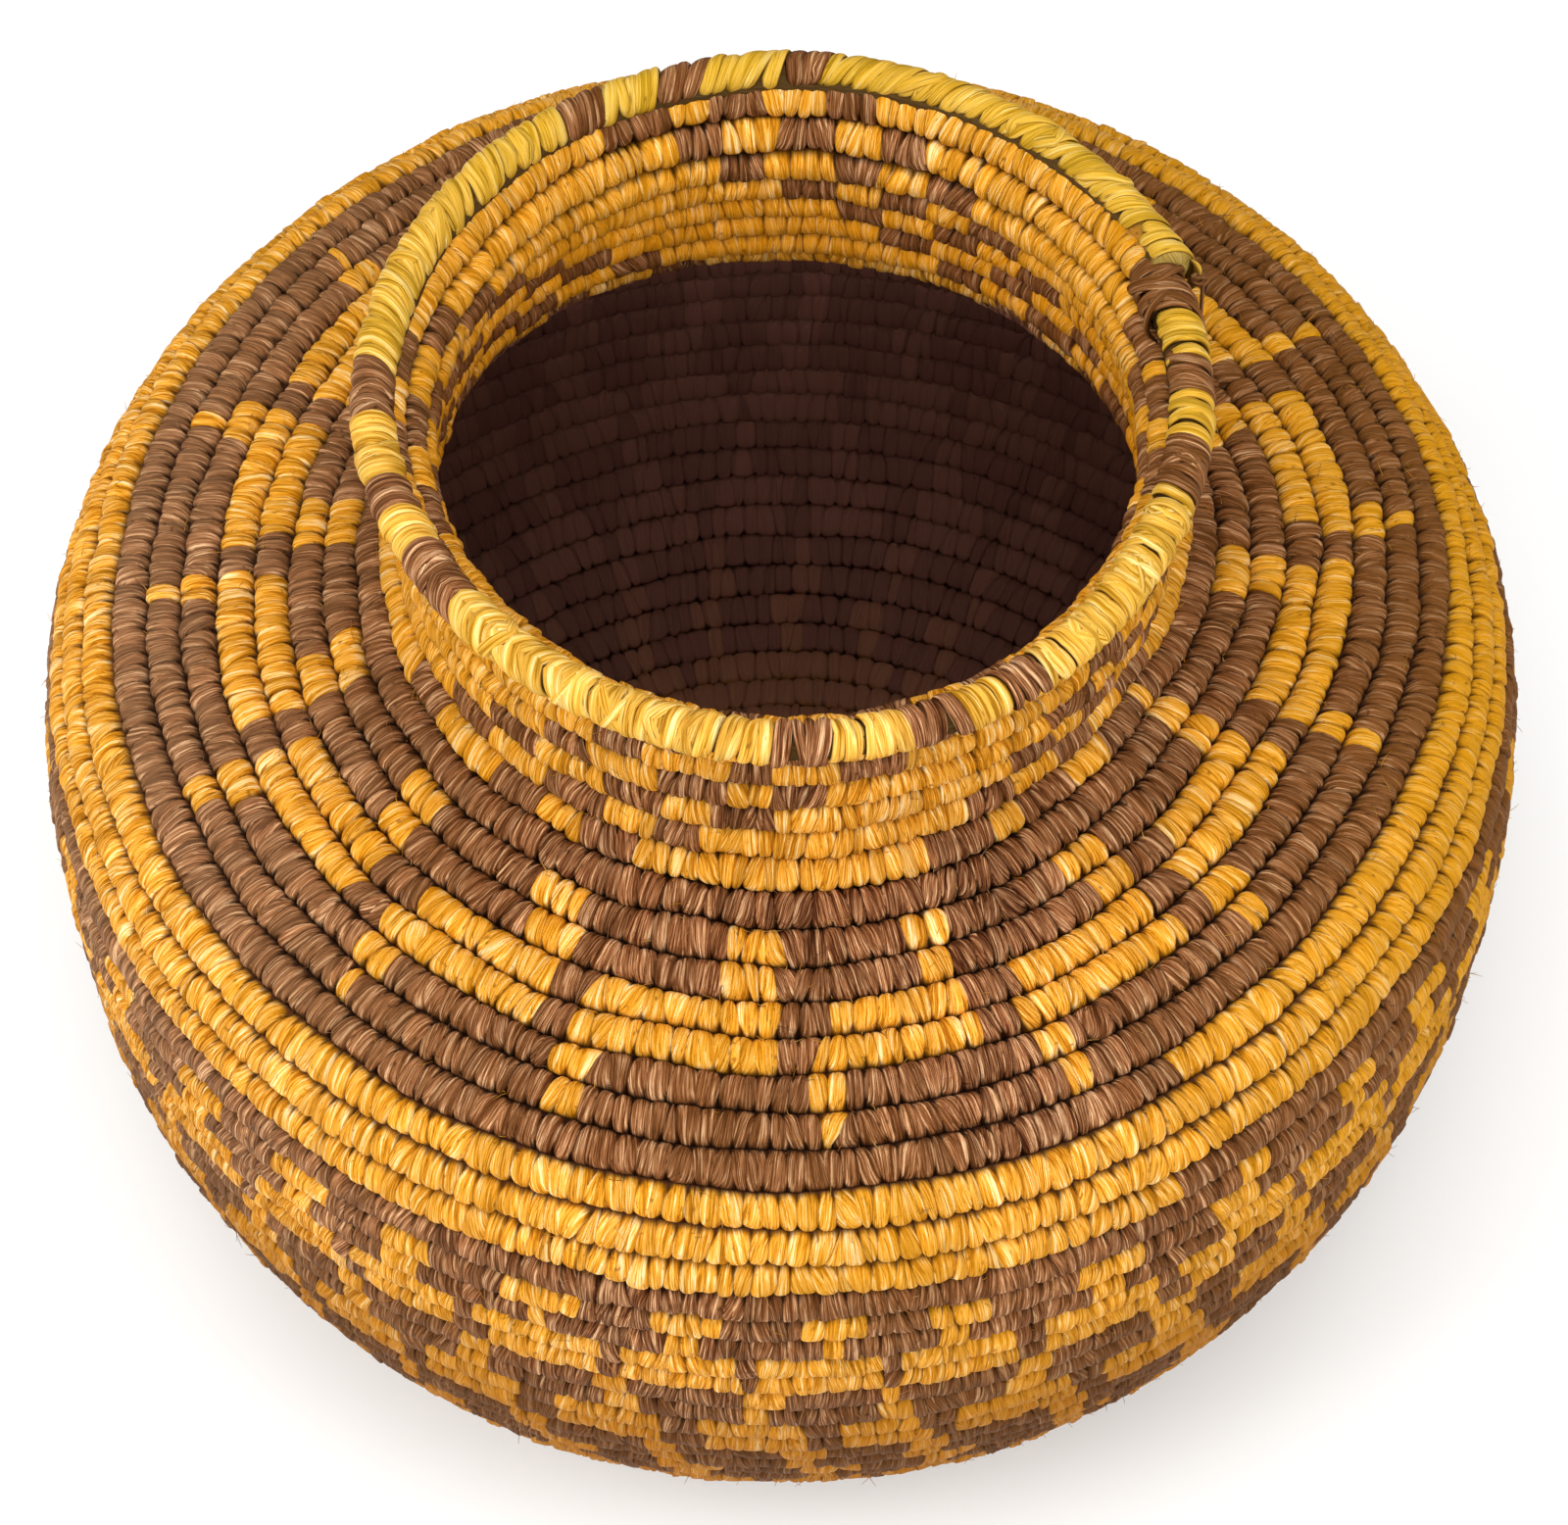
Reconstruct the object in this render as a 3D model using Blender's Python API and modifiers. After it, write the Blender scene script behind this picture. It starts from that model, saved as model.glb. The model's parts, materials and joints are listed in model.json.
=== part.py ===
"""A coiled basketry olla, built turn by turn the way the basket is sewn.

The jar is one long coil of plant fibre. It starts in the middle of the base, winds outward as a flat
spiral, climbs the wall, closes in over the shoulder, rises through the neck and ends under a thick rim.
Each full turn is one object, named for its zone, and the next turn starts where it stops. The rim is a
level ring of its own: a fibre bundle inside an overcast cover, whose ends meet inside a whipping of dark
strand.

Metres, +Z up. The origin is on the floor under the middle of the jar, and the jar's front faces -Y.
"""

import math
from dataclasses import dataclass

import bpy
import numpy as np

NAME = "basketry_olla"

# Body outline: radii and heights of the coil's centre line
BASE_RADIUS = 0.0877
BELLY_RADIUS = 0.1608
BELLY_HEIGHT = 0.1061
LOWER_WALL_INSET = 0.0091
LOWER_WALL_DROP = 0.0505
LOWER_WALL_HEADING = 72.5
SHOULDER_FOOT_INSET = 0.0022
SHOULDER_FOOT_RISE = 0.0512
SHOULDER_FOOT_HEADING = 102.6

# Shoulder outline, from its foot up to the foot of the neck
SHOULDER_TURN_INSET = 0.0173
SHOULDER_TURN_RISE = 0.0216
SHOULDER_TURN_HEADING = 157.0
SHOULDER_RISE = 0.0355

# Neck outline
THROAT_RADIUS = 0.0739
NECK_FOOT_SPREAD = 0.0122
NECK_FOOT_HEADING = 153.0
NECK_ROOT_SPREAD = 0.0023
NECK_ROOT_RISE = 0.0149
NECK_ROOT_HEADING = 96.0
THROAT_RISE = 0.0417
RIM_SEAT_SPREAD = 0.0072
RIM_SEAT_RISE = 0.0547
RIM_SEAT_HEADING = 52.0

# Turns of the coil in each zone of the outline
BASE_TURNS = 11
WALL_TURNS = 24
SHOULDER_TURNS = 11
NECK_TURNS = 7.8

# The coil: where it starts and stops, and how finely it is drawn
START_AZIMUTH = -54.0
START_SWELL = 0.4
START_THINNING = 0.5
END_STOP = 0.12
SEAM_GAP = 0.0003
STEPS_PER_TURN = 18
SECTION_SIDES = 6

# The rim, its bundle and the whipping over the joint of its ends
RIM_RADIUS = 0.0054
RIM_COVER = 0.0011
RIM_SIDES = 8
WHIPPING_LENGTH = 0.015
WHIPPING_WALL = 0.0009
WHIPPING_RUN_IN = 0.020
TAIL_LENGTH = 0.017
TAIL_RADIUS = 0.0006
TAIL_TIP_RADIUS = 0.0002
TAIL_KNOT_RADIUS = 0.0019

# Finishes: colour, roughness
NATURAL_STRAND = ((0.68, 0.41, 0.10, 1.0), 0.62)
DYED_STRAND = ((0.13, 0.055, 0.034, 1.0), 0.66)
FOUNDATION = ((0.46, 0.26, 0.09, 1.0), 0.85)

# Zones whose courses are sewn mainly in dyed strand, by course number from below
DYED_COURSES = {
    "wall": {23, 24},
    "shoulder": {4, 5, 6, 9, 10, 11},
}


@dataclass
class Station:
    """A point of the outline, with its direction of travel: 0 outward, 90 upward, 180 inward."""

    radius: float
    height: float
    heading: float


def stations(base_line):
    """The outline's stations from the axis up to the seat of the rim, and the zone that each one closes."""
    foot_height = BELLY_HEIGHT + SHOULDER_FOOT_RISE
    neck_height = foot_height + SHOULDER_RISE
    shoulder_turn = Station(
        BELLY_RADIUS - SHOULDER_TURN_INSET, foot_height + SHOULDER_TURN_RISE, SHOULDER_TURN_HEADING
    )
    return [
        (Station(0.0, base_line, 0.0), None),
        (Station(BASE_RADIUS, base_line, 0.0), "base"),
        (Station(BELLY_RADIUS - LOWER_WALL_INSET, BELLY_HEIGHT - LOWER_WALL_DROP, LOWER_WALL_HEADING), None),
        (Station(BELLY_RADIUS, BELLY_HEIGHT, 90.0), None),
        (Station(BELLY_RADIUS - SHOULDER_FOOT_INSET, foot_height, SHOULDER_FOOT_HEADING), "wall"),
        (shoulder_turn, None),
        (Station(THROAT_RADIUS + NECK_FOOT_SPREAD, neck_height, NECK_FOOT_HEADING), "shoulder"),
        (Station(THROAT_RADIUS + NECK_ROOT_SPREAD, neck_height + NECK_ROOT_RISE, NECK_ROOT_HEADING), None),
        (Station(THROAT_RADIUS, neck_height + THROAT_RISE, 90.0), None),
        (Station(THROAT_RADIUS + RIM_SEAT_SPREAD, neck_height + RIM_SEAT_RISE, RIM_SEAT_HEADING), "neck"),
    ]


def blend(start, end, count=60):
    """Points of a smooth cubic between two stations, close to an arc where both headings allow one."""
    p0 = np.array([start.radius, start.height])
    p1 = np.array([end.radius, end.height])
    turn = math.radians(end.heading - start.heading)
    pull = float(np.hypot(*(p1 - p0))) / math.cos(turn / 4) ** 2
    d0 = pull * np.array([math.cos(math.radians(start.heading)), math.sin(math.radians(start.heading))])
    d1 = pull * np.array([math.cos(math.radians(end.heading)), math.sin(math.radians(end.heading))])
    u = np.linspace(0.0, 1.0, count)[:, None]
    return (
        (2 * u**3 - 3 * u**2 + 1) * p0
        + (u**3 - 2 * u**2 + u) * d0
        + (3 * u**2 - 2 * u**3) * p1
        + (u**3 - u**2) * d1
    )


class Outline:
    """The coil's centre line in profile, read by length along it, and the zones that share it out."""

    def __init__(self, base_line):
        listed = stations(base_line)
        pieces = [blend(a, b) for (a, _), (b, _) in zip(listed, listed[1:])]
        self.points = np.vstack([pieces[0]] + [piece[1:] for piece in pieces[1:]])
        steps = np.hypot(*np.diff(self.points, axis=0).T)
        self.lengths = np.concatenate([[0.0], np.cumsum(steps)])
        slopes = np.gradient(self.points, self.lengths, axis=0)
        self.headings = np.unwrap(np.arctan2(slopes[:, 1], slopes[:, 0]))
        ends = np.cumsum([len(piece) - 1 for piece in pieces])
        closed = {zone: self.lengths[end] for (_, zone), end in zip(listed[1:], ends) if zone}
        turns = {"base": BASE_TURNS, "wall": WALL_TURNS, "shoulder": SHOULDER_TURNS, "neck": NECK_TURNS}
        self.zone_ends = np.concatenate([[0.0], np.cumsum([turns[zone] for zone in closed])])
        self.zone_lengths = np.concatenate([[0.0], list(closed.values())])
        self.last_turn = float(self.zone_ends[-1])

    @classmethod
    def on_floor(cls):
        """The outline whose lowest section just touches the floor."""
        base_line = 0.0
        for _ in range(3):
            base_line -= cls(base_line).lowest()
        return cls(base_line)

    def lowest(self):
        """The lowest height that the base's sections reach, up to where the wall has begun to climb."""
        turns = np.arange((BASE_TURNS + 2) * STEPS_PER_TURN) / STEPS_PER_TURN
        return float(min(self.section_points(turn)[:, 1].min() for turn in turns))

    def bed(self, turn):
        """The length along the outline at which the coil's lower side lies, level past the last turn."""
        return float(np.interp(turn, self.zone_ends, self.zone_lengths))

    def at(self, length):
        """Radius, height and heading in radians at a length along the outline."""
        radius = np.interp(length, self.lengths, self.points[:, 0])
        height = np.interp(length, self.lengths, self.points[:, 1])
        heading = np.interp(length, self.lengths, self.headings)
        return float(radius), float(height), float(heading)

    def coil(self, turn):
        """Centre radius, height, heading and section radius of the coil at a turn."""
        low = self.bed(turn)
        high = self.bed(turn + 1.0)
        radius, height, heading = self.at((low + high) / 2)
        return radius, height, heading, (high - low - SEAM_GAP) / 2

    def section_points(self, turn, per_side=4):
        """Points round the edge of the coil's section at a turn, as radius and height."""
        radius, height, heading, section = self.coil(turn)
        angles = heading + np.arange(SECTION_SIDES + 1) * math.tau / SECTION_SIDES
        corners = np.array([radius, height]) + section * np.column_stack([np.cos(angles), np.sin(angles)])
        shares = np.arange(per_side)[:, None, None] / per_side
        return (corners[:-1] + (corners[1:] - corners[:-1]) * shares).reshape(-1, 2)

    def least_gap(self):
        """The least distance, measured on points, from the coil's section to the one a turn further on."""
        turns = np.arange(0.0, self.last_turn - 1.0 - END_STOP, 1.0 / STEPS_PER_TURN)
        pairs = [(self.section_points(turn), self.section_points(turn + 1.0)) for turn in turns]
        return min(float(np.linalg.norm(low[:, None] - high[None], axis=2).min()) for low, high in pairs)


def azimuth(turn):
    """The world angle of a turn of the coil, which climbs clockwise as seen from above."""
    return math.radians(START_AZIMUTH) - turn * math.tau


def on_circle(radius, angle, height):
    """A point at a radius and world angle about the jar's axis."""
    return (radius * math.cos(angle), radius * math.sin(angle), height)


def finish(name, look):
    """A material with one colour and roughness."""
    colour, roughness = look
    material = bpy.data.materials.new(name)
    material.use_nodes = True
    shader = material.node_tree.nodes["Principled BSDF"]
    shader.inputs["Base Color"].default_value = colour
    shader.inputs["Roughness"].default_value = roughness
    shader.inputs["Metallic"].default_value = 0.0
    material.diffuse_color = colour
    return material


def tube(collection, name, points, radii, tilts, look, sides=SECTION_SIDES, capped=True):
    """A tube along a chain of points, with its own section radius and tilt at each."""
    curve = bpy.data.curves.new(name, "CURVE")
    curve.dimensions = "3D"
    curve.twist_mode = "Z_UP"
    curve.bevel_depth = max(radii)
    curve.bevel_resolution = (sides - 4) // 2
    curve.use_fill_caps = capped
    spline = curve.splines.new("POLY")
    spline.points.add(len(points) - 1)
    for node, place, radius, tilt in zip(spline.points, points, radii, tilts):
        node.co = (*place, 1.0)
        node.radius = radius / curve.bevel_depth
        node.tilt = tilt
    spline.use_smooth = True
    piece = bpy.data.objects.new(name, curve)
    piece.data.materials.append(finish(name, look))
    collection.objects.link(piece)
    return piece


def shell(collection, name, points, radii, tilts, look, wall, sides):
    """A tube with an open bore: its skin is thickened inward by the wall."""
    skin = tube(collection, name, points, radii, tilts, look, sides, capped=False)
    bpy.context.view_layer.update()
    graph = bpy.context.evaluated_depsgraph_get()
    mesh = bpy.data.meshes.new_from_object(skin.evaluated_get(graph))
    place = skin.matrix_world.copy()
    bpy.data.objects.remove(skin)
    piece = bpy.data.objects.new(name, mesh)
    piece.name = name
    piece.matrix_world = place
    thicken = piece.modifiers.new("wall", "SOLIDIFY")
    thicken.thickness = wall
    thicken.offset = -1.0
    collection.objects.link(piece)
    mesh.shade_smooth()
    return piece


def on_coil(outline, turn):
    """The coil at a turn: its place, its section radius and its tilt."""
    radius, height, heading, section = outline.coil(turn)
    swell = START_THINNING + (1.0 - START_THINNING) * min(1.0, turn / START_SWELL)
    return np.array(on_circle(radius, azimuth(turn), height)), section * swell, heading


def cut_end(outline, turn, side):
    """The coil cut square across at a turn, in the middle of a step, with half the seam gap on this side."""
    before = on_coil(outline, turn - 0.5 / STEPS_PER_TURN)
    after = on_coil(outline, turn + 0.5 / STEPS_PER_TURN)
    share = 0.5 + side * (SEAM_GAP / 2) / float(np.linalg.norm(after[0] - before[0]))
    return tuple(low + (high - low) * share for low, high in zip(before, after))


def course(collection, outline, name, first, last, look):
    """One turn of the coil. Its steps lie half a step off its ends, so each cut meets the next squarely."""
    steps = range(round(first * STEPS_PER_TURN), math.floor(last * STEPS_PER_TURN))
    middle = [on_coil(outline, (step + 0.5) / STEPS_PER_TURN) for step in steps]
    points, radii, tilts = zip(cut_end(outline, first, 1), *middle, cut_end(outline, last, -1))
    return tube(collection, name, points, radii, tilts, look)


def zone_courses(outline):
    """Every course from the base up, as name, first turn, last turn and look."""
    listed = []
    turn = 0
    zones = (("base", BASE_TURNS), ("wall", WALL_TURNS), ("shoulder", SHOULDER_TURNS), ("neck", NECK_TURNS))
    for zone, turns in zones:
        for number in range(1, math.ceil(turns) + 1):
            last = min(turn + 1, outline.last_turn - END_STOP)
            dyed = number in DYED_COURSES.get(zone, ())
            name = "start_knot" if turn == 0 else f"{zone}_course_{number:02d}"
            listed.append((name, turn, last, DYED_STRAND if dyed else NATURAL_STRAND))
            turn += 1
    return listed


@dataclass
class RimRing:
    """The level ring of the rim, which rests on the last course and stops at its own joint."""

    radius: float
    height: float
    joint: float

    @classmethod
    def over(cls, outline):
        """The ring that the seat at the top of the outline carries."""
        radius, height, heading = outline.at(outline.lengths[-1])
        lift = RIM_RADIUS + SEAM_GAP / 2
        return cls(
            radius + lift * math.cos(heading), height + lift * math.sin(heading), azimuth(outline.last_turn)
        )

    def section(self, distance):
        """The rim's outer radius at a distance from the nearer end, drawn in to pass under the whipping."""
        share = min(1.0, max(0.0, (distance - WHIPPING_LENGTH / 2) / WHIPPING_RUN_IN))
        return RIM_RADIUS - (WHIPPING_WALL + SEAM_GAP) * (1.0 - share)

    def path(self):
        """World angle and distance from the nearer end, at points from one end of the ring to the other."""
        circumference = math.tau * self.radius
        near = [SEAM_GAP / 2, WHIPPING_LENGTH / 2, WHIPPING_LENGTH / 2 + WHIPPING_RUN_IN]
        lead = [distance / circumference for distance in near]
        steps = round((1.0 - 2 * lead[-1]) * STEPS_PER_TURN)
        middle = np.linspace(lead[-1], 1.0 - lead[-1], steps + 1)
        shares = lead[:-1] + list(middle) + [1.0 - share for share in reversed(lead[:-1])]
        return [(self.joint - share * math.tau, min(share, 1.0 - share) * circumference) for share in shares]


def rim(collection, ring):
    """The rim's overcast cover and the bundle inside it, two pieces that share one path."""
    path = ring.path()
    points = [on_circle(ring.radius, angle, ring.height) for angle, _ in path]
    outer = [ring.section(distance) for _, distance in path]
    inner = [radius - RIM_COVER - SEAM_GAP for radius in outer]
    level = [0.0] * len(path)
    shell(collection, "rim_overcast", points, outer, level, NATURAL_STRAND, RIM_COVER, RIM_SIDES)
    tube(collection, "rim_bundle", points, inner, level, FOUNDATION, RIM_SIDES)


def whipping(collection, ring):
    """The whipping of dyed strand over the rim's joint, and the knotted tail of strand that hangs from it."""
    half = (WHIPPING_LENGTH / 2) / ring.radius
    angles = [ring.joint + half, ring.joint + half / 3, ring.joint - half / 3, ring.joint - half]
    points = [on_circle(ring.radius, angle, ring.height) for angle in angles]
    radii = [RIM_RADIUS] * len(points)
    level = [0.0] * len(points)
    shell(collection, "rim_whipping", points, radii, level, DYED_STRAND, WHIPPING_WALL, RIM_SIDES)

    stand = ring.radius + RIM_RADIUS + SEAM_GAP + TAIL_KNOT_RADIUS
    knot = [(0.0, TAIL_RADIUS), (0.4, TAIL_KNOT_RADIUS), (0.7, TAIL_KNOT_RADIUS), (1.1, TAIL_RADIUS)]
    profile = [(depth * 2 * TAIL_KNOT_RADIUS, radius) for depth, radius in knot]
    profile += [(0.6 * TAIL_LENGTH, TAIL_RADIUS), (TAIL_LENGTH, TAIL_TIP_RADIUS)]
    points = [on_circle(stand, ring.joint, ring.height + TAIL_KNOT_RADIUS - depth) for depth, _ in profile]
    radii = [radius for _, radius in profile]
    tube(collection, "whipping_tail", points, radii, [0.0] * len(points), DYED_STRAND)


def main():
    """Clear the scene and build every piece of the olla."""
    for piece in list(bpy.data.objects):
        bpy.data.objects.remove(piece)
    collection = bpy.data.collections.new(NAME)
    bpy.context.scene.collection.children.link(collection)

    outline = Outline.on_floor()
    for name, first, last, look in zone_courses(outline):
        course(collection, outline, name, first, last, look)
    ring = RimRing.over(outline)
    rim(collection, ring)
    whipping(collection, ring)

    pitches = np.diff(outline.zone_lengths) / np.diff(outline.zone_ends)
    print("coil pitch by zone, mm:", [round(float(pitch) * 1000, 2) for pitch in pitches])
    print(f"least gap between one turn and the next: {outline.least_gap() * 1000:.2f} mm")


main()
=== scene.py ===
"""A coiled basketry olla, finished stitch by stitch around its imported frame.

Every turn of the coil is sewn over with strands of plant fibre, natural gold or dyed brown. Each course of
the frame is replaced by a course whose stitches are modelled one by one, and the rim by an overcast of
single strands with a dark whipping at its joint. Metres, +Z up, the front of the jar faces -Y.
"""

import json
import logging
import math
from collections.abc import Sequence
from dataclasses import dataclass, field, replace
from enum import Enum, IntEnum

import bpy
import numpy as np
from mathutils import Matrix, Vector


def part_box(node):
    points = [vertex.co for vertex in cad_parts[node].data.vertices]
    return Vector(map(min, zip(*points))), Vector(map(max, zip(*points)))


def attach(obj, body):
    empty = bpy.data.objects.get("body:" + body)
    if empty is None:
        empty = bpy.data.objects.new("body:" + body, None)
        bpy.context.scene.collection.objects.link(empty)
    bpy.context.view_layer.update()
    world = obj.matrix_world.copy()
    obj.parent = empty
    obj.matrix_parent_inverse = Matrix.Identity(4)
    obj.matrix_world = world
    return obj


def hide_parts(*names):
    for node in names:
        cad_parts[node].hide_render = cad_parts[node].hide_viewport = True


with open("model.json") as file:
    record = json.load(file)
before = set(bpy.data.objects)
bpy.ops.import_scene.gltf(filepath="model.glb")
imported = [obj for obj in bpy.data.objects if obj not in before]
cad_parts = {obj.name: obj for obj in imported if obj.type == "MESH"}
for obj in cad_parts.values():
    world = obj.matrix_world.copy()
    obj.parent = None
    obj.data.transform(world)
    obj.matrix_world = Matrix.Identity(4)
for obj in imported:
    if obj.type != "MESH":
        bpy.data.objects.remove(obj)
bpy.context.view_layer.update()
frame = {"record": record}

LOG = logging.getLogger("basketry_olla")
MM = 0.001
TURN_START = 36.0

Socket = bpy.types.NodeSocket
Colour = tuple[float, float, float]
Span = tuple[float, float]


class Strand(Enum):
    """The two sewing strands, and the stems inside the coil, by their slot in the record."""

    NATURAL = "natural_strand"
    DYED = "dyed_strand"
    FOUNDATION = "foundation"


class Seed(IntEnum):
    """What each random draw starts from. The courses' seeds count on, one for each turn."""

    BED = 11
    BULGE = 12
    STEMS = 31
    OVERCAST = 41
    SEAM = 42
    WHIPPING = 43
    FIBRES = 51
    COURSES = 100


class Wander:
    """A smooth random line of unit size, a sum of waves, the same on every run."""

    def __init__(self, seed: int, slowest: float, fastest: float, waves: int = 24) -> None:
        """Draws the waves.

        Args:
            seed: What the draw starts from.
            slowest: Lowest frequency, in waves per unit.
            fastest: Highest frequency, in waves per unit.
            waves: How many waves are added up.
        """
        draw = np.random.default_rng(seed)
        self.rates = draw.uniform(slowest, fastest, waves) * math.tau
        self.phases = draw.uniform(0.0, math.tau, waves)
        self.size = math.sqrt(2.0 / waves)

    def __call__(self, place: np.ndarray) -> np.ndarray:
        """The line's values.

        Args:
            place: Where they are wanted, in units along the line.

        Returns:
            One value for each place.
        """
        total = np.zeros(np.shape(place))
        for rate, phase in zip(self.rates, self.phases):
            total += np.sin(rate * place + phase)
        return total * self.size


@dataclass(frozen=True)
class Station:
    """A point of the outline, with its direction of travel: 0 outward, 90 upward, 180 inward."""

    radius: float
    height: float
    heading: float


@dataclass
class Outline:
    """The coil's centre line in profile, with the sizes that the frame was made to."""

    base_line: float = 0.00335
    base_radius: float = 0.0877
    belly_radius: float = 0.1608
    belly_height: float = 0.1061
    foot_height: float = 0.1573
    neck_height: float = 0.1928
    throat_radius: float = 0.0739
    base_turns: float = 11.0
    wall_turns: float = 24.0
    shoulder_turns: float = 11.0
    neck_turns: float = 7.8

    def __post_init__(self) -> None:
        """Draws the outline from the axis of the base up to the seat of the rim."""
        belly, throat = self.belly_radius, self.throat_radius
        zones = [
            [Station(0.0, self.base_line, 0.0), Station(self.base_radius, self.base_line, 0.0)],
            [
                Station(belly - 0.0091, self.belly_height - 0.0505, 72.5),
                Station(belly, self.belly_height, 90.0),
                Station(belly - 0.0022, self.foot_height, 102.6),
            ],
            [
                Station(belly - 0.0173, self.foot_height + 0.0216, 157.0),
                Station(throat + 0.0122, self.neck_height, 153.0),
            ],
            [
                Station(throat + 0.0023, self.neck_height + 0.0149, 96.0),
                Station(throat, self.neck_height + 0.0417, 90.0),
                Station(throat + 0.0072, self.neck_height + 0.0547, 52.0),
            ],
        ]
        stations = [station for zone in zones for station in zone]
        pieces = [self.blend(a, b) for a, b in zip(stations, stations[1:])]
        points = np.vstack([pieces[0]] + [piece[1:] for piece in pieces[1:]])
        self.radii, self.heights = points.T
        steps = np.hypot(*np.diff(points, axis=0).T)
        self.lengths = np.concatenate([[0.0], np.cumsum(steps)])
        slopes = np.gradient(points, self.lengths, axis=0)
        self.headings = np.unwrap(np.arctan2(slopes[:, 1], slopes[:, 0]))
        closes = np.cumsum([len(zone) for zone in zones]) - 1
        self.zone_lengths = np.concatenate([[0.0], self.lengths[closes * (len(pieces[0]) - 1)]])
        turns = [self.base_turns, self.wall_turns, self.shoulder_turns, self.neck_turns]
        self.zone_ends = np.concatenate([[0.0], np.cumsum(turns)])

    @staticmethod
    def blend(start: Station, end: Station, count: int = 60) -> np.ndarray:
        """Points of a smooth cubic between two stations.

        Args:
            start: The first station.
            end: The last station.
            count: How many points.

        Returns:
            Radius and height of each point.
        """
        p0 = np.array([start.radius, start.height])
        p1 = np.array([end.radius, end.height])
        turn = math.radians(end.heading - start.heading)
        pull = float(np.hypot(*(p1 - p0))) / math.cos(turn / 4) ** 2
        a0, a1 = math.radians(start.heading), math.radians(end.heading)
        d0 = pull * np.array([math.cos(a0), math.sin(a0)])
        d1 = pull * np.array([math.cos(a1), math.sin(a1)])
        u = np.linspace(0.0, 1.0, count)[:, None]
        rise = 3 * u**2 - 2 * u**3
        return (1 - rise) * p0 + (u**3 - 2 * u**2 + u) * d0 + rise * p1 + (u**3 - u**2) * d1

    def at(self, length: np.ndarray) -> tuple[np.ndarray, np.ndarray, np.ndarray]:
        """The outline at lengths along it. It runs straight on past its end.

        Args:
            length: Lengths from the axis of the base.

        Returns:
            Radius, height and heading in radians at each.
        """
        over = np.maximum(length - self.lengths[-1], 0.0)
        last = self.headings[-1]
        return (
            np.interp(length, self.lengths, self.radii) + over * math.cos(last),
            np.interp(length, self.lengths, self.heights) + over * math.sin(last),
            np.interp(length, self.lengths, self.headings),
        )


def azimuth_of(turn: np.ndarray) -> np.ndarray:
    """Degrees round the jar at a turn: 0 is the front, positive to the right, from -180 to 180."""
    return (TURN_START - 360.0 * (np.asarray(turn) % 1.0) + 180.0) % 360.0 - 180.0


def smooth(share: np.ndarray) -> np.ndarray:
    """An eased share that is held between 0 and 1."""
    held = np.clip(share, 0.0, 1.0)
    return held * held * (3.0 - 2.0 * held)


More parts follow.
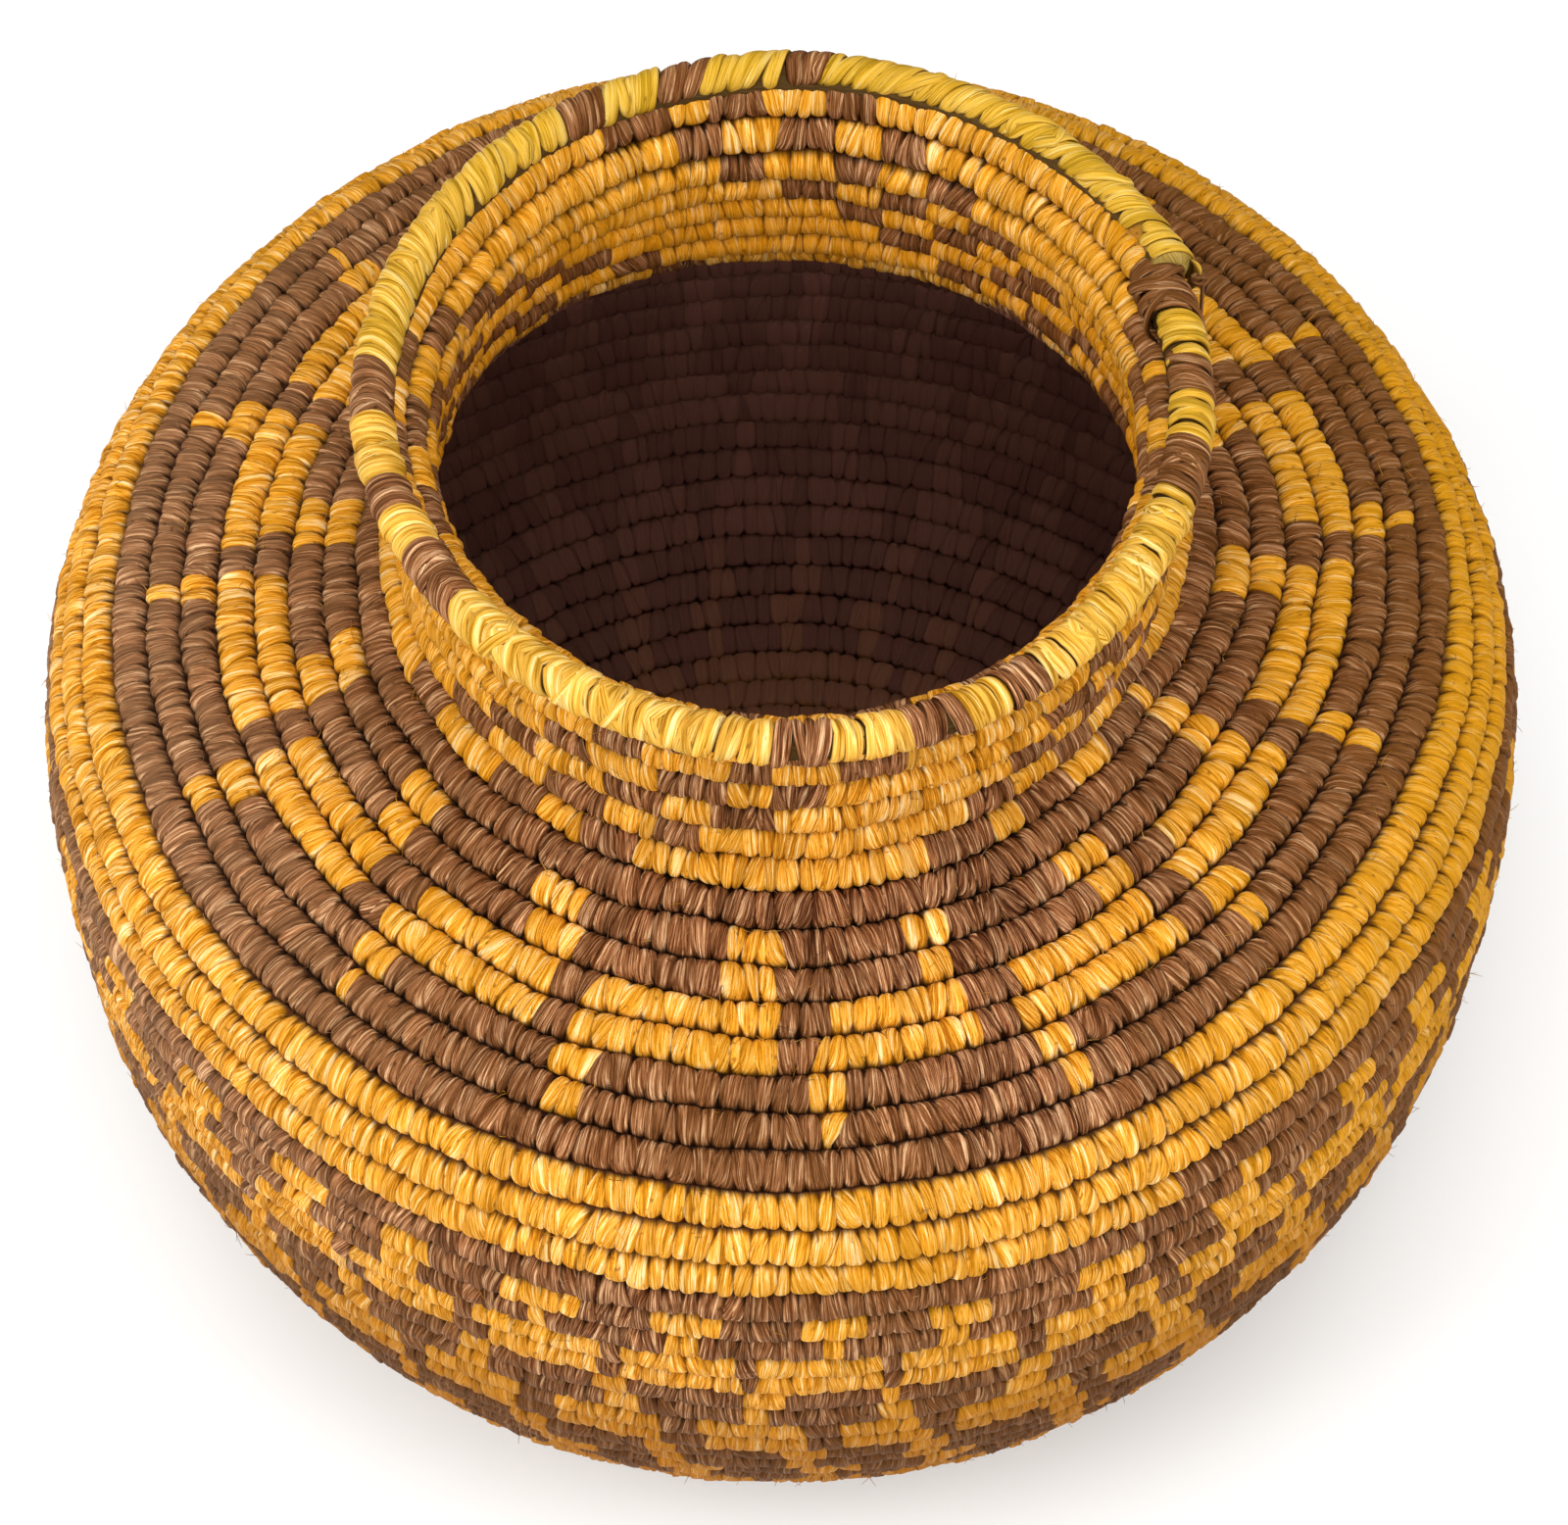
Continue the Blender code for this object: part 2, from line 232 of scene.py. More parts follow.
@dataclass
class Coil:
    """The coil as it really lies on the outline: a hand-laid spiral that is never quite even."""

    outline: Outline
    start_angle: float = TURN_START - 90.0
    stray: float = 0.24 * MM
    swell: float = 0.16 * MM
    # How far the section stands out to either side
    bulge: float = 3.75 * MM
    base_bulge: float = 3.2 * MM
    # Where the courses crowd down the shoulder
    slip: float = 7.9 * MM
    slip_azimuth: float = 101.0
    slip_reach: float = 46.0
    slip_start: float = 36.5
    slip_full: float = 42.5
    slip_over: float = 46.0
    slip_end: float = 50.5
    # Where the neck has sunk at the back, and where the rim flattens it at the front
    settle: float = 2.6 * MM
    settle_start: float = 48.5
    settle_azimuth: float = 190.0
    settle_reach: float = 100.0
    settle_ease: float = 50.0
    flat: float = 1.6 * MM
    flat_azimuth: float = 10.0
    flat_reach: float = 60.0
    flat_ease: float = 35.0
    flat_start: float = 51.9
    flat_run: float = 1.1
    # Where the coil starts, ends and lies flat, and the limits of its section
    start_ease: float = 2.0
    end_ease: float = 0.5
    lying_end: float = 0.080
    lying_fade: float = 0.030
    least_half: float = 0.15 * MM
    most_bulge: float = 1.15
    # How the neck and its lip stand off a true circle, by degrees round the jar, in millimetres
    lip: tuple[tuple[float, float, float], ...] = (
        (90.0, 0.3, 0.0), (108.0, 0.0, 0.0), (320.0, 0.0, 0.0), (340.0, 0.6, -0.4), (360.0, 1.4, -0.9),
        (385.0, 1.5, -0.9), (405.0, 1.2, -0.5), (425.0, 1.0, -0.1), (440.0, 0.8, 0.0), (450.0, 0.3, 0.0),
    )
    lip_start: float = 0.55
    lip_reach: float = 0.40
    throat_widths: tuple[tuple[float, float], ...] = (
        (90.0, 4.2), (105.0, 3.7), (120.0, 3.0), (140.0, 1.5), (160.0, 0.5), (180.0, 0.3), (200.0, 0.5),
        (220.0, 1.0), (240.0, 1.2), (270.0, 1.2), (300.0, 1.0), (330.0, 0.6), (360.0, 0.6), (380.0, 0.9),
        (390.0, 2.2), (400.0, 3.2), (420.0, 4.3), (436.0, 4.6), (450.0, 4.2),
    )
    throat_run: tuple[tuple[float, float], ...] = (
        (0.10, 0.0), (0.20, 0.15), (0.30, 0.40), (0.40, 0.70), (0.50, 0.95), (0.65, 1.0), (0.75, 0.90),
        (0.85, 0.50), (0.95, 0.10), (1.0, 0.0),
    )
    foot_widths: tuple[tuple[float, float], ...] = (
        (90.0, 2.6), (100.0, 3.4), (110.0, 3.8), (125.0, 3.5), (145.0, 2.2), (165.0, 0.8), (180.0, 0.3),
        (200.0, 1.3), (215.0, 3.3), (235.0, 3.5), (250.0, 2.0), (270.0, 1.2), (300.0, 0.0), (420.0, 0.0),
        (440.0, 1.5), (450.0, 2.6),
    )
    foot_run: tuple[tuple[float, float], ...] = (
        (0.0, 0.0), (0.08, 0.7), (0.14, 1.0), (0.32, 1.0), (0.50, 0.50), (0.65, 0.20), (0.80, 0.0),
    )

    def __post_init__(self) -> None:
        """Draws the lines that the coil wanders by."""
        self.bed_wander = Wander(Seed.BED, slowest=1.5, fastest=26.0)
        self.bulge_wander = Wander(Seed.BULGE, slowest=3.0, fastest=40.0)
        self.end = float(self.outline.zone_ends[-1])

    def slipped(self, turn: np.ndarray) -> np.ndarray:
        """How far the courses crowd down the shoulder, at the jar's right back.

        Args:
            turn: Turns of the coil.

        Returns:
            The slip at each, down the outline.
        """
        off = (azimuth_of(turn) - self.slip_azimuth) / self.slip_reach
        begun = np.clip((turn - self.slip_start) / (self.slip_full - self.slip_start), 0, 1)
        gather = 1.0 - (1.0 - begun) ** 2
        release = np.clip((turn - self.slip_over) / (self.slip_end - self.slip_over), 0, 1)
        return self.slip * (1.0 - smooth(np.abs(off))) * gather * (1.0 - release)

    def settled(self, turn: np.ndarray) -> np.ndarray:
        """How far the upper courses of the neck have sunk from the rim, at the back.

        Args:
            turn: Turns of the coil.

        Returns:
            How far at each, down the outline.
        """
        off = np.abs((azimuth_of(turn) - self.settle_azimuth + 180.0) % 360.0 - 180.0)
        back = smooth((self.settle_reach - off) / self.settle_ease)
        return self.settle * back * smooth((turn - self.settle_start) / (self.end - self.settle_start))

    def widened(self, turn: np.ndarray, length: np.ndarray) -> np.ndarray:
        """How far the neck stands out from a true circle, most at the jar's right.

        Args:
            turn: Turns of the coil.
            length: Lengths along the outline there.

        Returns:
            What is added to the radius.
        """
        run = self.neck_share(length)
        place = self.from_right(turn)
        throat = np.interp(place, *zip(*self.throat_widths)) * np.interp(run, *zip(*self.throat_run))
        foot = np.interp(place, *zip(*self.foot_widths)) * np.interp(run, *zip(*self.foot_run))
        return (throat + foot) * MM

    def bowed(self, turn: np.ndarray, length: np.ndarray) -> tuple[np.ndarray, np.ndarray]:
        """How far the last courses bow out and down under the rim, at the front.

        Args:
            turn: Turns of the coil.
            length: Lengths along the outline there.

        Returns:
            What is added to the radius and to the height.
        """
        share = smooth((self.neck_share(length) - self.lip_start) / self.lip_reach) * MM
        place = self.from_right(turn)
        places, out, up = zip(*self.lip)
        return np.interp(place, places, out) * share, np.interp(place, places, up) * share

    def neck_share(self, length: np.ndarray) -> np.ndarray:
        """How far up the neck a length along the outline is, from 0 to 1."""
        start, end = self.outline.zone_lengths[-2:]
        return (length - start) / (end - start)

    @staticmethod
    def from_right(turn: np.ndarray) -> np.ndarray:
        """Degrees round the jar, from 90 at its right to 450."""
        return (azimuth_of(turn) - 90.0) % 360.0 + 90.0

    def flattened(self, turn: np.ndarray) -> np.ndarray:
        """How much flatter the last course is inside, at the front, where the rim is drawn over it.

        Args:
            turn: Turns of the coil.

        Returns:
            What is taken off its bulge at each.
        """
        off = np.abs(azimuth_of(turn) - self.flat_azimuth)
        front = smooth((self.flat_reach - off) / self.flat_ease)
        return self.flat * front * smooth((turn - self.flat_start) / self.flat_run)

    def bed(self, turn: np.ndarray) -> np.ndarray:
        """Where the coil's lower side lies.

        Args:
            turn: Turns of the coil.

        Returns:
            The length along the outline at each.
        """
        lengths, ends = self.outline.zone_lengths, self.outline.zone_ends
        pitch = (lengths[-1] - lengths[-2]) / (ends[-1] - ends[-2])
        level = np.interp(turn, ends, lengths) + pitch * np.maximum(turn - self.end, 0.0)
        ease = smooth(turn / self.start_ease) * smooth((self.end - turn) / self.end_ease)
        return level + self.stray * self.bed_wander(turn) * ease - self.slipped(turn) - self.settled(turn)

    def section(self, turn: np.ndarray) -> tuple[np.ndarray, ...]:
        """Where the coil is at a turn.

        Args:
            turn: Turns of the coil from its start.

        Returns:
            The centre's radius, height and heading, and the section's half height and its bulge.
        """
        low, high = self.bed(turn), self.bed(turn + 1.0)
        middle = (low + high) / 2
        radius, height, heading = self.outline.at(middle)
        out, up = self.bowed(turn, middle)
        radius = radius + self.widened(turn, middle) + out
        height = height + up
        lying = 1.0 - smooth((middle - self.lying_end) / self.lying_fade)
        bulge = self.bulge + (self.base_bulge - self.bulge) * lying
        bulge = bulge + self.swell * self.bulge_wander(turn) * (1.0 - lying)
        half = np.maximum((high - low) / 2, self.least_half)
        return radius, height, heading, half, np.minimum(bulge, half * self.most_bulge)

    def angle(self, turn: np.ndarray) -> np.ndarray:
        """The world angle of a turn, which climbs clockwise as seen from above."""
        return math.radians(self.start_angle) - np.asarray(turn) * math.tau

    def length_of(self, first: float, last: float) -> float:
        """The coil's length between two turns."""
        turns = np.linspace(first, last, 60)
        return float(np.mean(self.section(turns)[0]) * math.tau * (last - first))


@dataclass
class Skin:
    """A closed tube as rings of points, with what its finish reads from it."""

    points: np.ndarray
    across: np.ndarray
    along: np.ndarray
    rise: np.ndarray
    tone: np.ndarray
    dyed: np.ndarray
    strips: int = 1
    # Painted shade above 0, painted warm light below 0
    painted_shading: np.ndarray | None = None

    def shade(self) -> np.ndarray:
        """How much painted shade each point gets, with painted warm light below 0, none unless it was given.
        """
        return np.zeros(self.rise.shape) if self.painted_shading is None else self.painted_shading


@dataclass
class Loom:
    """Joins skins into one mesh piece and lays out the maps that its finishes read."""

    finishes: dict[Strand, bpy.types.Material]
    margin: float = 0.04

    def piece(
        self, name: str, skins: list[Skin], columns: int = 1, plain: Strand = Strand.NATURAL
    ) -> bpy.types.Object:
        """One mesh from skins.

        Args:
            name: The piece's name.
            skins: Its tubes.
            columns: How many tubes lie side by side in its baking map.
            plain: The finish of the strands that aren't dyed.

        Returns:
            The new object, in the scene.
        """
        cells = sum(skin.strips for skin in skins)
        rows = math.ceil(cells / columns)
        parts = []
        vertex, cell = 0, 0
        for skin in skins:
            parts.append(self.faces(skin, vertex, cell, columns, rows))
            vertex += skin.points.shape[0] * skin.points.shape[1]
            cell += skin.strips
        corners = np.concatenate([part["corners"] for part in parts])
        counts = np.concatenate([part["counts"] for part in parts])
        starts = np.concatenate([[0], np.cumsum(counts)[:-1]])
        points = np.concatenate([skin.points.reshape(-1) for skin in skins])
        mesh = bpy.data.meshes.new(name)
        mesh.vertices.add(vertex)
        mesh.vertices.foreach_set("co", points.astype(np.float32))
        mesh.loops.add(len(corners))
        mesh.loops.foreach_set("vertex_index", corners.astype(np.int32))
        mesh.polygons.add(len(starts))
        mesh.polygons.foreach_set("loop_start", starts.astype(np.int32))
        mesh.update(calc_edges=True)
        mesh.validate()
        mesh.materials.append(self.finishes[plain])
        mesh.materials.append(self.finishes[Strand.DYED])
        dyed = np.concatenate([part["dyed"] for part in parts])
        mesh.polygons.foreach_set("material_index", dyed.astype(np.int32))
        for label in ("Strand", "OFBake"):
            layer = mesh.uv_layers.new(name=label)
            spots = np.concatenate([part[label] for part in parts])
            layer.uv.foreach_set("vector", spots.astype(np.float32))
        self.attribute(mesh, "rise", "POINT", np.concatenate([skin.rise.reshape(-1) for skin in skins]))
        # Painted shade and painted warm light, which the finish reads
        self.attribute(mesh, "painted_shading", "POINT", np.concatenate([skin.shade().reshape(-1) for skin in skins]))
        self.attribute(mesh, "tone", "FACE", np.concatenate([part["tone"] for part in parts]))
        mesh.shade_smooth()
        piece = bpy.data.objects.new(name, mesh)
        bpy.context.scene.collection.objects.link(piece)
        return piece

    @staticmethod
    def attribute(mesh: bpy.types.Mesh, name: str, domain: str, values: np.ndarray) -> None:
        """Writes one number for each point or face."""
        layer = mesh.attributes.new(name, "FLOAT", domain)
        layer.data.foreach_set("value", values.astype(np.float32))

    def faces(self, skin: Skin, vertex: int, cell: int, columns: int, rows: int) -> dict[str, np.ndarray]:
        """The faces of one skin, with their maps and what each face carries.

        Args:
            skin: The tube.
            vertex: Number of its first vertex in the piece.
            cell: Number of its first cell in the baking map.
            columns: Cells side by side in that map.
            rows: Cells above each other.

        Returns:
            Corner numbers, corner counts, both maps, and the dye and tone of each face.
        """
        rings, around = skin.points.shape[:2]
        ring, side = np.meshgrid(np.arange(rings - 1), np.arange(around), indexing="ij")
        steps = [(0, 0), (0, 1), (1, 1), (1, 0)]
        corners = np.stack([vertex + (ring + a) * around + (side + b) % around for a, b in steps], axis=-1)
        strand = np.stack([
            np.stack([skin.across[ring + a, side + b], skin.along[ring + a, side + b]], axis=-1)
            for a, b in steps
        ], axis=2)
        run = np.minimum(ring * skin.strips // (rings - 1), skin.strips - 1)
        first = -((-run * (rings - 1)) // skin.strips)
        last = -((-(run + 1) * (rings - 1)) // skin.strips)
        place = cell + run
        bake = np.stack([
            np.stack([
                (place % columns + self.inset((ring + a - first) / (last - first))) / columns,
                (place // columns + self.inset((side + b) / around)) / rows,
            ], axis=-1) for a, b in steps
        ], axis=2)
        if self.turned(skin.points):
            corners, strand, bake = (part[:, :, ::-1] for part in (corners, strand, bake))
            ends = [np.arange(around), (rings - 1) * around + np.arange(around)[::-1]]
        else:
            ends = [np.arange(around)[::-1], (rings - 1) * around + np.arange(around)]
        spots = [np.tile(strand[at, 0, 0], (around, 1)) for at in (0, -1)]
        marks = [np.tile(bake[at, 0, 0], (around, 1)) for at in (0, -1)]
        each = np.repeat(np.arange(rings - 1), around)
        faces_of = np.concatenate([each, [0, rings - 2]])
        return {
            "corners": np.concatenate([corners.reshape(-1), *[vertex + end for end in ends]]),
            "counts": np.concatenate([np.full(len(each), 4), [around, around]]),
            "Strand": np.concatenate([strand.reshape(-1, 2), *spots]).reshape(-1),
            "OFBake": np.concatenate([bake.reshape(-1, 2), *marks]).reshape(-1),
            "dyed": skin.dyed[faces_of],
            "tone": skin.tone[faces_of],
        }

    def inset(self, share: np.ndarray) -> np.ndarray:
        """A share of a cell, drawn in by the margin."""
        return self.margin + (1.0 - 2.0 * self.margin) * share

    @staticmethod
    def turned(points: np.ndarray) -> bool:
        """Whether the rings run so that the faces would look inward.

        Args:
            points: The rings' points.

        Returns:
            True if they do.
        """
        a, b = points[:-1], points[1:]
        c = np.roll(points, -1, axis=1)[:-1]
        middle = points.reshape(-1, 3).mean(axis=0)
        return float(np.einsum("ijk,ijk->", np.cross(c - a, b - a), a - middle)) < 0.0


class Nodes:
    """Adds nodes to a finish's tree."""

    def __init__(self, tree: bpy.types.NodeTree) -> None:
        """Keeps the tree that the nodes go into."""
        self.tree = tree

    def add(self, kind: str) -> bpy.types.Node:
        """A new node of a kind."""
        return self.tree.nodes.new(f"ShaderNode{kind}")

    def link(self, value: Socket, target: Socket) -> None:
        """Feeds a value into a socket."""
        self.tree.links.new(value, target)

    def read(self, name: str) -> Socket:
        """A number that the mesh carries.

        Args:
            name: The number's name on the mesh.

        Returns:
            The number.
        """
        node = self.add("Attribute")
        node.attribute_name = name
        return node.outputs["Fac"]

    def axis(self, place: Socket, name: str) -> Socket:
        """One axis of a place.

        Args:
            place: The place.
            name: The axis.

        Returns:
            How far along it the place is.
        """
        node = self.add("SeparateXYZ")
        self.link(place, node.inputs["Vector"])
        return node.outputs[name]

    def texture(self, place: Socket, rate: float, detail: float) -> bpy.types.Node:
        """A noise texture.

        Args:
            place: Where it is read.
            rate: How often it changes.
            detail: How many finer layers it has.

        Returns:
            Its node.
        """
        node = self.add("TexNoise")
        node.inputs["Scale"].default_value = rate
        node.inputs["Detail"].default_value = detail
        self.link(place, node.inputs["Vector"])
        return node

    def strand_noise(
        self, rates: Span, tone: Socket, detail: float, apart: float = 90.0, coarse: float = 0.6
    ) -> Socket:
        """Noise drawn out along the strand, other on each stitch.

        Args:
            rates: How often it changes, across and along the strand.
            tone: The stitch's own number.
            detail: How many finer layers it has.
            apart: How far apart the noises of two stitches can lie.
            coarse: How strong its finer layers are.

        Returns:
            The noise.
        """
        place = self.add("UVMap")
        place.uv_map = "Strand"
        join = self.add("CombineXYZ")
        for name, rate in zip("XY", rates):
            self.link(self.maths("MULTIPLY", self.axis(place.outputs["UV"], name), rate), join.inputs[name])
        self.link(self.maths("MULTIPLY", tone, apart), join.inputs["Z"])
        node = self.texture(join.outputs["Vector"], 1.0, detail)
        node.inputs["Roughness"].default_value = coarse
        return node.outputs["Fac"]

    def place(self) -> Socket:
        """The place on the jar, in its own frame."""
        return self.add("TexCoord").outputs["Object"]

    def maths(self, kind: str, value: Socket, second: float = 0.0, third: float = 0.0) -> Socket:
        """One sum on a value.

        Args:
            kind: The sum's name.
            value: The value.
            second: The sum's second number.
            third: Its third.

        Returns:
            The result.
        """
        node = self.add("Math")
        node.operation = kind
        node.inputs[1].default_value = second
        node.inputs[2].default_value = third
        self.link(value, node.inputs[0])
        return node.outputs["Value"]

    def ranged(self, value: Socket, old: Span, new: Span) -> Socket:
        """A value moved from one range to another.

        Args:
            value: The value.
            old: The range that it has.
            new: The range that it gets.

        Returns:
            The moved value.
        """
        node = self.add("MapRange")
        node.inputs["From Min"].default_value, node.inputs["From Max"].default_value = old
        node.inputs["To Min"].default_value, node.inputs["To Max"].default_value = new
        self.link(value, node.inputs["Value"])
        return node.outputs["Result"]

    def mixed(self, share: Socket, colour: Socket, other: Colour) -> Socket:
        """A colour taken some of the way to another.

        Args:
            share: How far.
            colour: The colour.
            other: The colour that it is taken to.

        Returns:
            The mixed colour.
        """
        node = self.add("Mix")
        node.data_type = "RGBA"
        self.link(share, node.inputs[0])
        sockets = [socket for socket in node.inputs if socket.type == "RGBA"]
        self.link(colour, sockets[0])
        sockets[1].default_value = (*other, 1.0)
        return next(socket for socket in node.outputs if socket.type == "RGBA")

    def scaled(self, colour: Socket, share: Socket) -> Socket:
        """A colour made brighter or darker.

        Args:
            colour: The colour.
            share: What it is multiplied by.

        Returns:
            The new colour.
        """
        node = self.add("VectorMath")
        node.operation = "SCALE"
        self.link(colour, node.inputs[0])
        self.link(share, node.inputs["Scale"])
        return node.outputs["Vector"]

    def ramp(self, value: Socket, stops: Sequence[float], colours: Sequence[Colour]) -> Socket:
        """A colour that changes with a value.

        Args:
            value: The value.
            stops: The values at which each colour is reached.
            colours: The colours.

        Returns:
            The colour.
        """
        node = self.add("ValToRGB")
        elements = node.color_ramp.elements
        for element, at in zip(list(elements), (0, -1)):
            element.position, element.color = stops[at], (*colours[at], 1.0)
        for stop, colour in zip(stops[1:-1], colours[1:-1]):
            elements.new(stop).color = (*colour, 1.0)
        self.link(value, node.inputs["Fac"])
        return node.outputs["Color"]


@dataclass(frozen=True)
class Finish:
    """A strand's look: fibres run along it, with painted shade in the grooves, and no two stitches match."""

    strand: Strand
    shadow: Colour
    body: Colour
    light: Colour
    glint: Colour
    aged_and_side_shade: Colour
    groove: Colour
    # The colour of painted shade: inside the jar on the courses, and on the rim's hidden bundle
    painted_shade: Colour
    # The colour of painted warm light inside the neck; on the rim's bundle, the warmer colour in the gap
    # where it shows
    warm: Colour
    roughness: float
    # How it shines
    specular: float = 0.08
    ior: float = 1.35
    roughness_half: float = 0.08
    roughness_span: Span = (0.3, 0.7)
    # Where in the grain each colour starts, the glint stop painting highlights along the fibres, and how far
    # two stitches differ
    stops: tuple[float, ...] = (0.39, 0.465, 0.55, 0.63)
    tone_spread: float = 0.36
    # Patches of age over the whole jar, then painted shade at the back, on the right and low on the wall, and
    # painted light on the left
    patch_rate: float = 9.0
    patch_detail: float = 4.0
    patch_span: Span = (0.42, 0.68)
    aged_share: float = 0.45
    # worn is the colour of the painted shade low on the wall, fading out just above the belly
    worn: Colour = (0.285, 0.098, 0.008)
    low_shade_share: float = 0.74
    low_shade_heights: Span = (0.085, 0.135)
    # Painted shade at the back and on the right, in the aged colour
    back_shade_share: float = 0.40
    back_shade_span: Span = (-0.02, 0.13)
    right_shade_share: float = 0.80
    right_shade_span: Span = (0.05, 0.15)
    # Painted light on the left side, in a paler colour
    left_light: Colour = (0.36, 0.20, 0.095)
    left_light_share: float = 0.0
    left_light_span: Span = (-0.14, -0.06)
    # The grain: fine fibres on broader bands, and its relief
    fibre: float = 0.30 * MM
    fibre_run: float = 5.5 * MM
    fibre_detail: float = 3.0
    fibre_share: float = 0.58
    band: float = 1.05 * MM
    band_run: float = 16.0 * MM
    band_detail: float = 1.0
    band_share: float = 0.42
    relief: float = 0.85 * MM
    relief_strength: float = 0.9
    # Cracks along the fibres, and the painted shade in the hollows between stitches
    crack: float = 0.55
    crack_apart: float = 1.7
    crack_run: float = 2.2
    crack_level: float = 0.47
    crack_edge: Span = (0.004, 0.020)
    hollow_shade: float = 0.94
    hollow_shade_rise: Span = (0.05, 0.60)

    def material(self) -> bpy.types.Material:
        """The finish as a node material.

        Returns:
            The new material.
        """
        material = bpy.data.materials.new(self.strand.value)
        material.use_nodes = True
        nodes = Nodes(material.node_tree)
        shader = material.node_tree.nodes["Principled BSDF"]
        shader.inputs["Metallic"].default_value = 0.0
        shader.inputs["Specular IOR Level"].default_value = self.specular
        shader.inputs["IOR"].default_value = self.ior

        tone = nodes.read("tone")
        fibres = nodes.strand_noise((1 / self.fibre, 1 / self.fibre_run), tone, self.fibre_detail)
        bands = nodes.strand_noise((1 / self.band, 1 / self.band_run), tone, self.band_detail)
        blend = nodes.maths("MULTIPLY_ADD", bands, self.band_share)
        nodes.link(nodes.maths("MULTIPLY", fibres, self.fibre_share), blend.node.inputs[2])

        # The grain's colours; the glint stop is painted highlights along the fibres
        colour = nodes.ramp(blend, self.stops, (self.shadow, self.body, self.light, self.glint))
        bright = nodes.maths("MULTIPLY_ADD", tone, self.tone_spread, 1.0 - self.tone_spread / 2)
        colour = self.patched_and_side_shaded(nodes, nodes.scaled(colour, bright))
        # Painted warm light where this is below 0, painted shade where it is above 0
        painted_shading = nodes.read("painted_shading")
        colour = nodes.mixed(nodes.ranged(painted_shading, (-1.0, 0.0), (1.0, 0.0)), colour, self.warm)
        colour = self.grooved(nodes, colour, tone)
        colour = nodes.mixed(nodes.ranged(painted_shading, (0.0, 1.0), (0.0, 1.0)), colour, self.painted_shade)
        nodes.link(colour, shader.inputs["Base Color"])

        spread = (self.roughness + self.roughness_half, self.roughness - self.roughness_half)
        nodes.link(nodes.ranged(fibres, self.roughness_span, spread), shader.inputs["Roughness"])
        bump = nodes.add("Bump")
        bump.inputs["Strength"].default_value = self.relief_strength
        bump.inputs["Distance"].default_value = self.relief
        nodes.link(blend, bump.inputs["Height"])
        nodes.link(bump.outputs["Normal"], shader.inputs["Normal"])
        return material

    def patched_and_side_shaded(self, nodes: Nodes, colour: Socket) -> Socket:
        """A colour with patches of age, and painted shade and light on each side of the jar.

        Args:
            nodes: What adds nodes to the tree.
            colour: The colour.

        Returns:
            The weathered colour.
        """
        patches = nodes.texture(nodes.place(), self.patch_rate, self.patch_detail).outputs["Fac"]
        share = nodes.ranged(patches, self.patch_span, (0.0, self.aged_share))
        colour = nodes.mixed(share, colour, self.aged_and_side_shade)
        # Painted shade at the back, on the right and low on the wall, and painted light on the left
        sides = (
            ("Y", self.back_shade_span, (0.0, self.back_shade_share), self.aged_and_side_shade),
            ("X", self.right_shade_span, (0.0, self.right_shade_share), self.aged_and_side_shade),
            ("X", self.left_light_span, (self.left_light_share, 0.0), self.left_light),
            ("Z", self.low_shade_heights, (self.low_shade_share, 0.0), self.worn),
        )
        for axis, span, shares, other in sides:
            share = nodes.ranged(nodes.axis(nodes.place(), axis), span, shares)
            colour = nodes.mixed(share, colour, other)
        return colour

    def grooved(self, nodes: Nodes, colour: Socket, tone: Socket) -> Socket:
        """A colour with fine cracks along the fibres and painted shade in the hollows between the stitches.

        Args:
            nodes: What adds nodes to the tree.
            colour: The colour.
            tone: The stitch's own number.

        Returns:
            The colour with its dark lines.
        """
        rates = (1 / (self.crack_apart * self.fibre), 1 / (self.crack_run * self.fibre_run))
        lines = nodes.strand_noise(rates, tone, 0.0)
        near = nodes.maths("ABSOLUTE", nodes.maths("SUBTRACT", lines, self.crack_level))
        colour = nodes.mixed(nodes.ranged(near, self.crack_edge, (self.crack, 0.0)), colour, self.groove)
        # Painted shade in the grooves and furrows, strongest where the rise is lowest
        hollow_shade = nodes.ranged(nodes.read("rise"), self.hollow_shade_rise, (self.hollow_shade, 0.0))
        return nodes.mixed(hollow_shade, colour, self.groove)


FINISHES = (
    Finish(
        strand=Strand.NATURAL,
        shadow=(0.32, 0.098, 0.003),
        body=(0.62, 0.241, 0.012),
        light=(0.83, 0.405, 0.066),
        glint=(0.96, 0.72, 0.36),
        aged_and_side_shade=(0.50, 0.225, 0.003),
        groove=(0.070, 0.020, 0.001),
        painted_shade=(0.26, 0.108, 0.078),
        warm=(0.80, 0.29, 0.004),
        roughness=0.62,
    ),
    Finish(
        strand=Strand.DYED,
        shadow=(0.040, 0.009, 0.002),
        body=(0.138, 0.045, 0.014),
        light=(0.350, 0.150, 0.062),
        # Painted light on the left side
        left_light_share=0.26,
        glint=(0.75, 0.460, 0.245),
        tone_spread=0.56,
        fibre=0.23 * MM,
        band=0.80 * MM,
        # Painted shade low on the wall
        worn=(0.10, 0.038, 0.010),
        aged_and_side_shade=(0.15, 0.056, 0.009),
        groove=(0.014, 0.004, 0.001),
        painted_shade=(0.225, 0.090, 0.066),
        warm=(0.20, 0.062, 0.012),
        roughness=0.62,
    ),
    Finish(
        strand=Strand.FOUNDATION,
        shadow=(0.15, 0.08, 0.015),
        body=(0.36, 0.22, 0.045),
        light=(0.48, 0.33, 0.09),
        glint=(0.62, 0.48, 0.20),
        aged_and_side_shade=(0.27, 0.17, 0.03),
        groove=(0.05, 0.02, 0.004),
        painted_shade=(0.050, 0.022, 0.006),
        warm=(0.36, 0.150, 0.014),
        roughness=0.8,
    ),
)

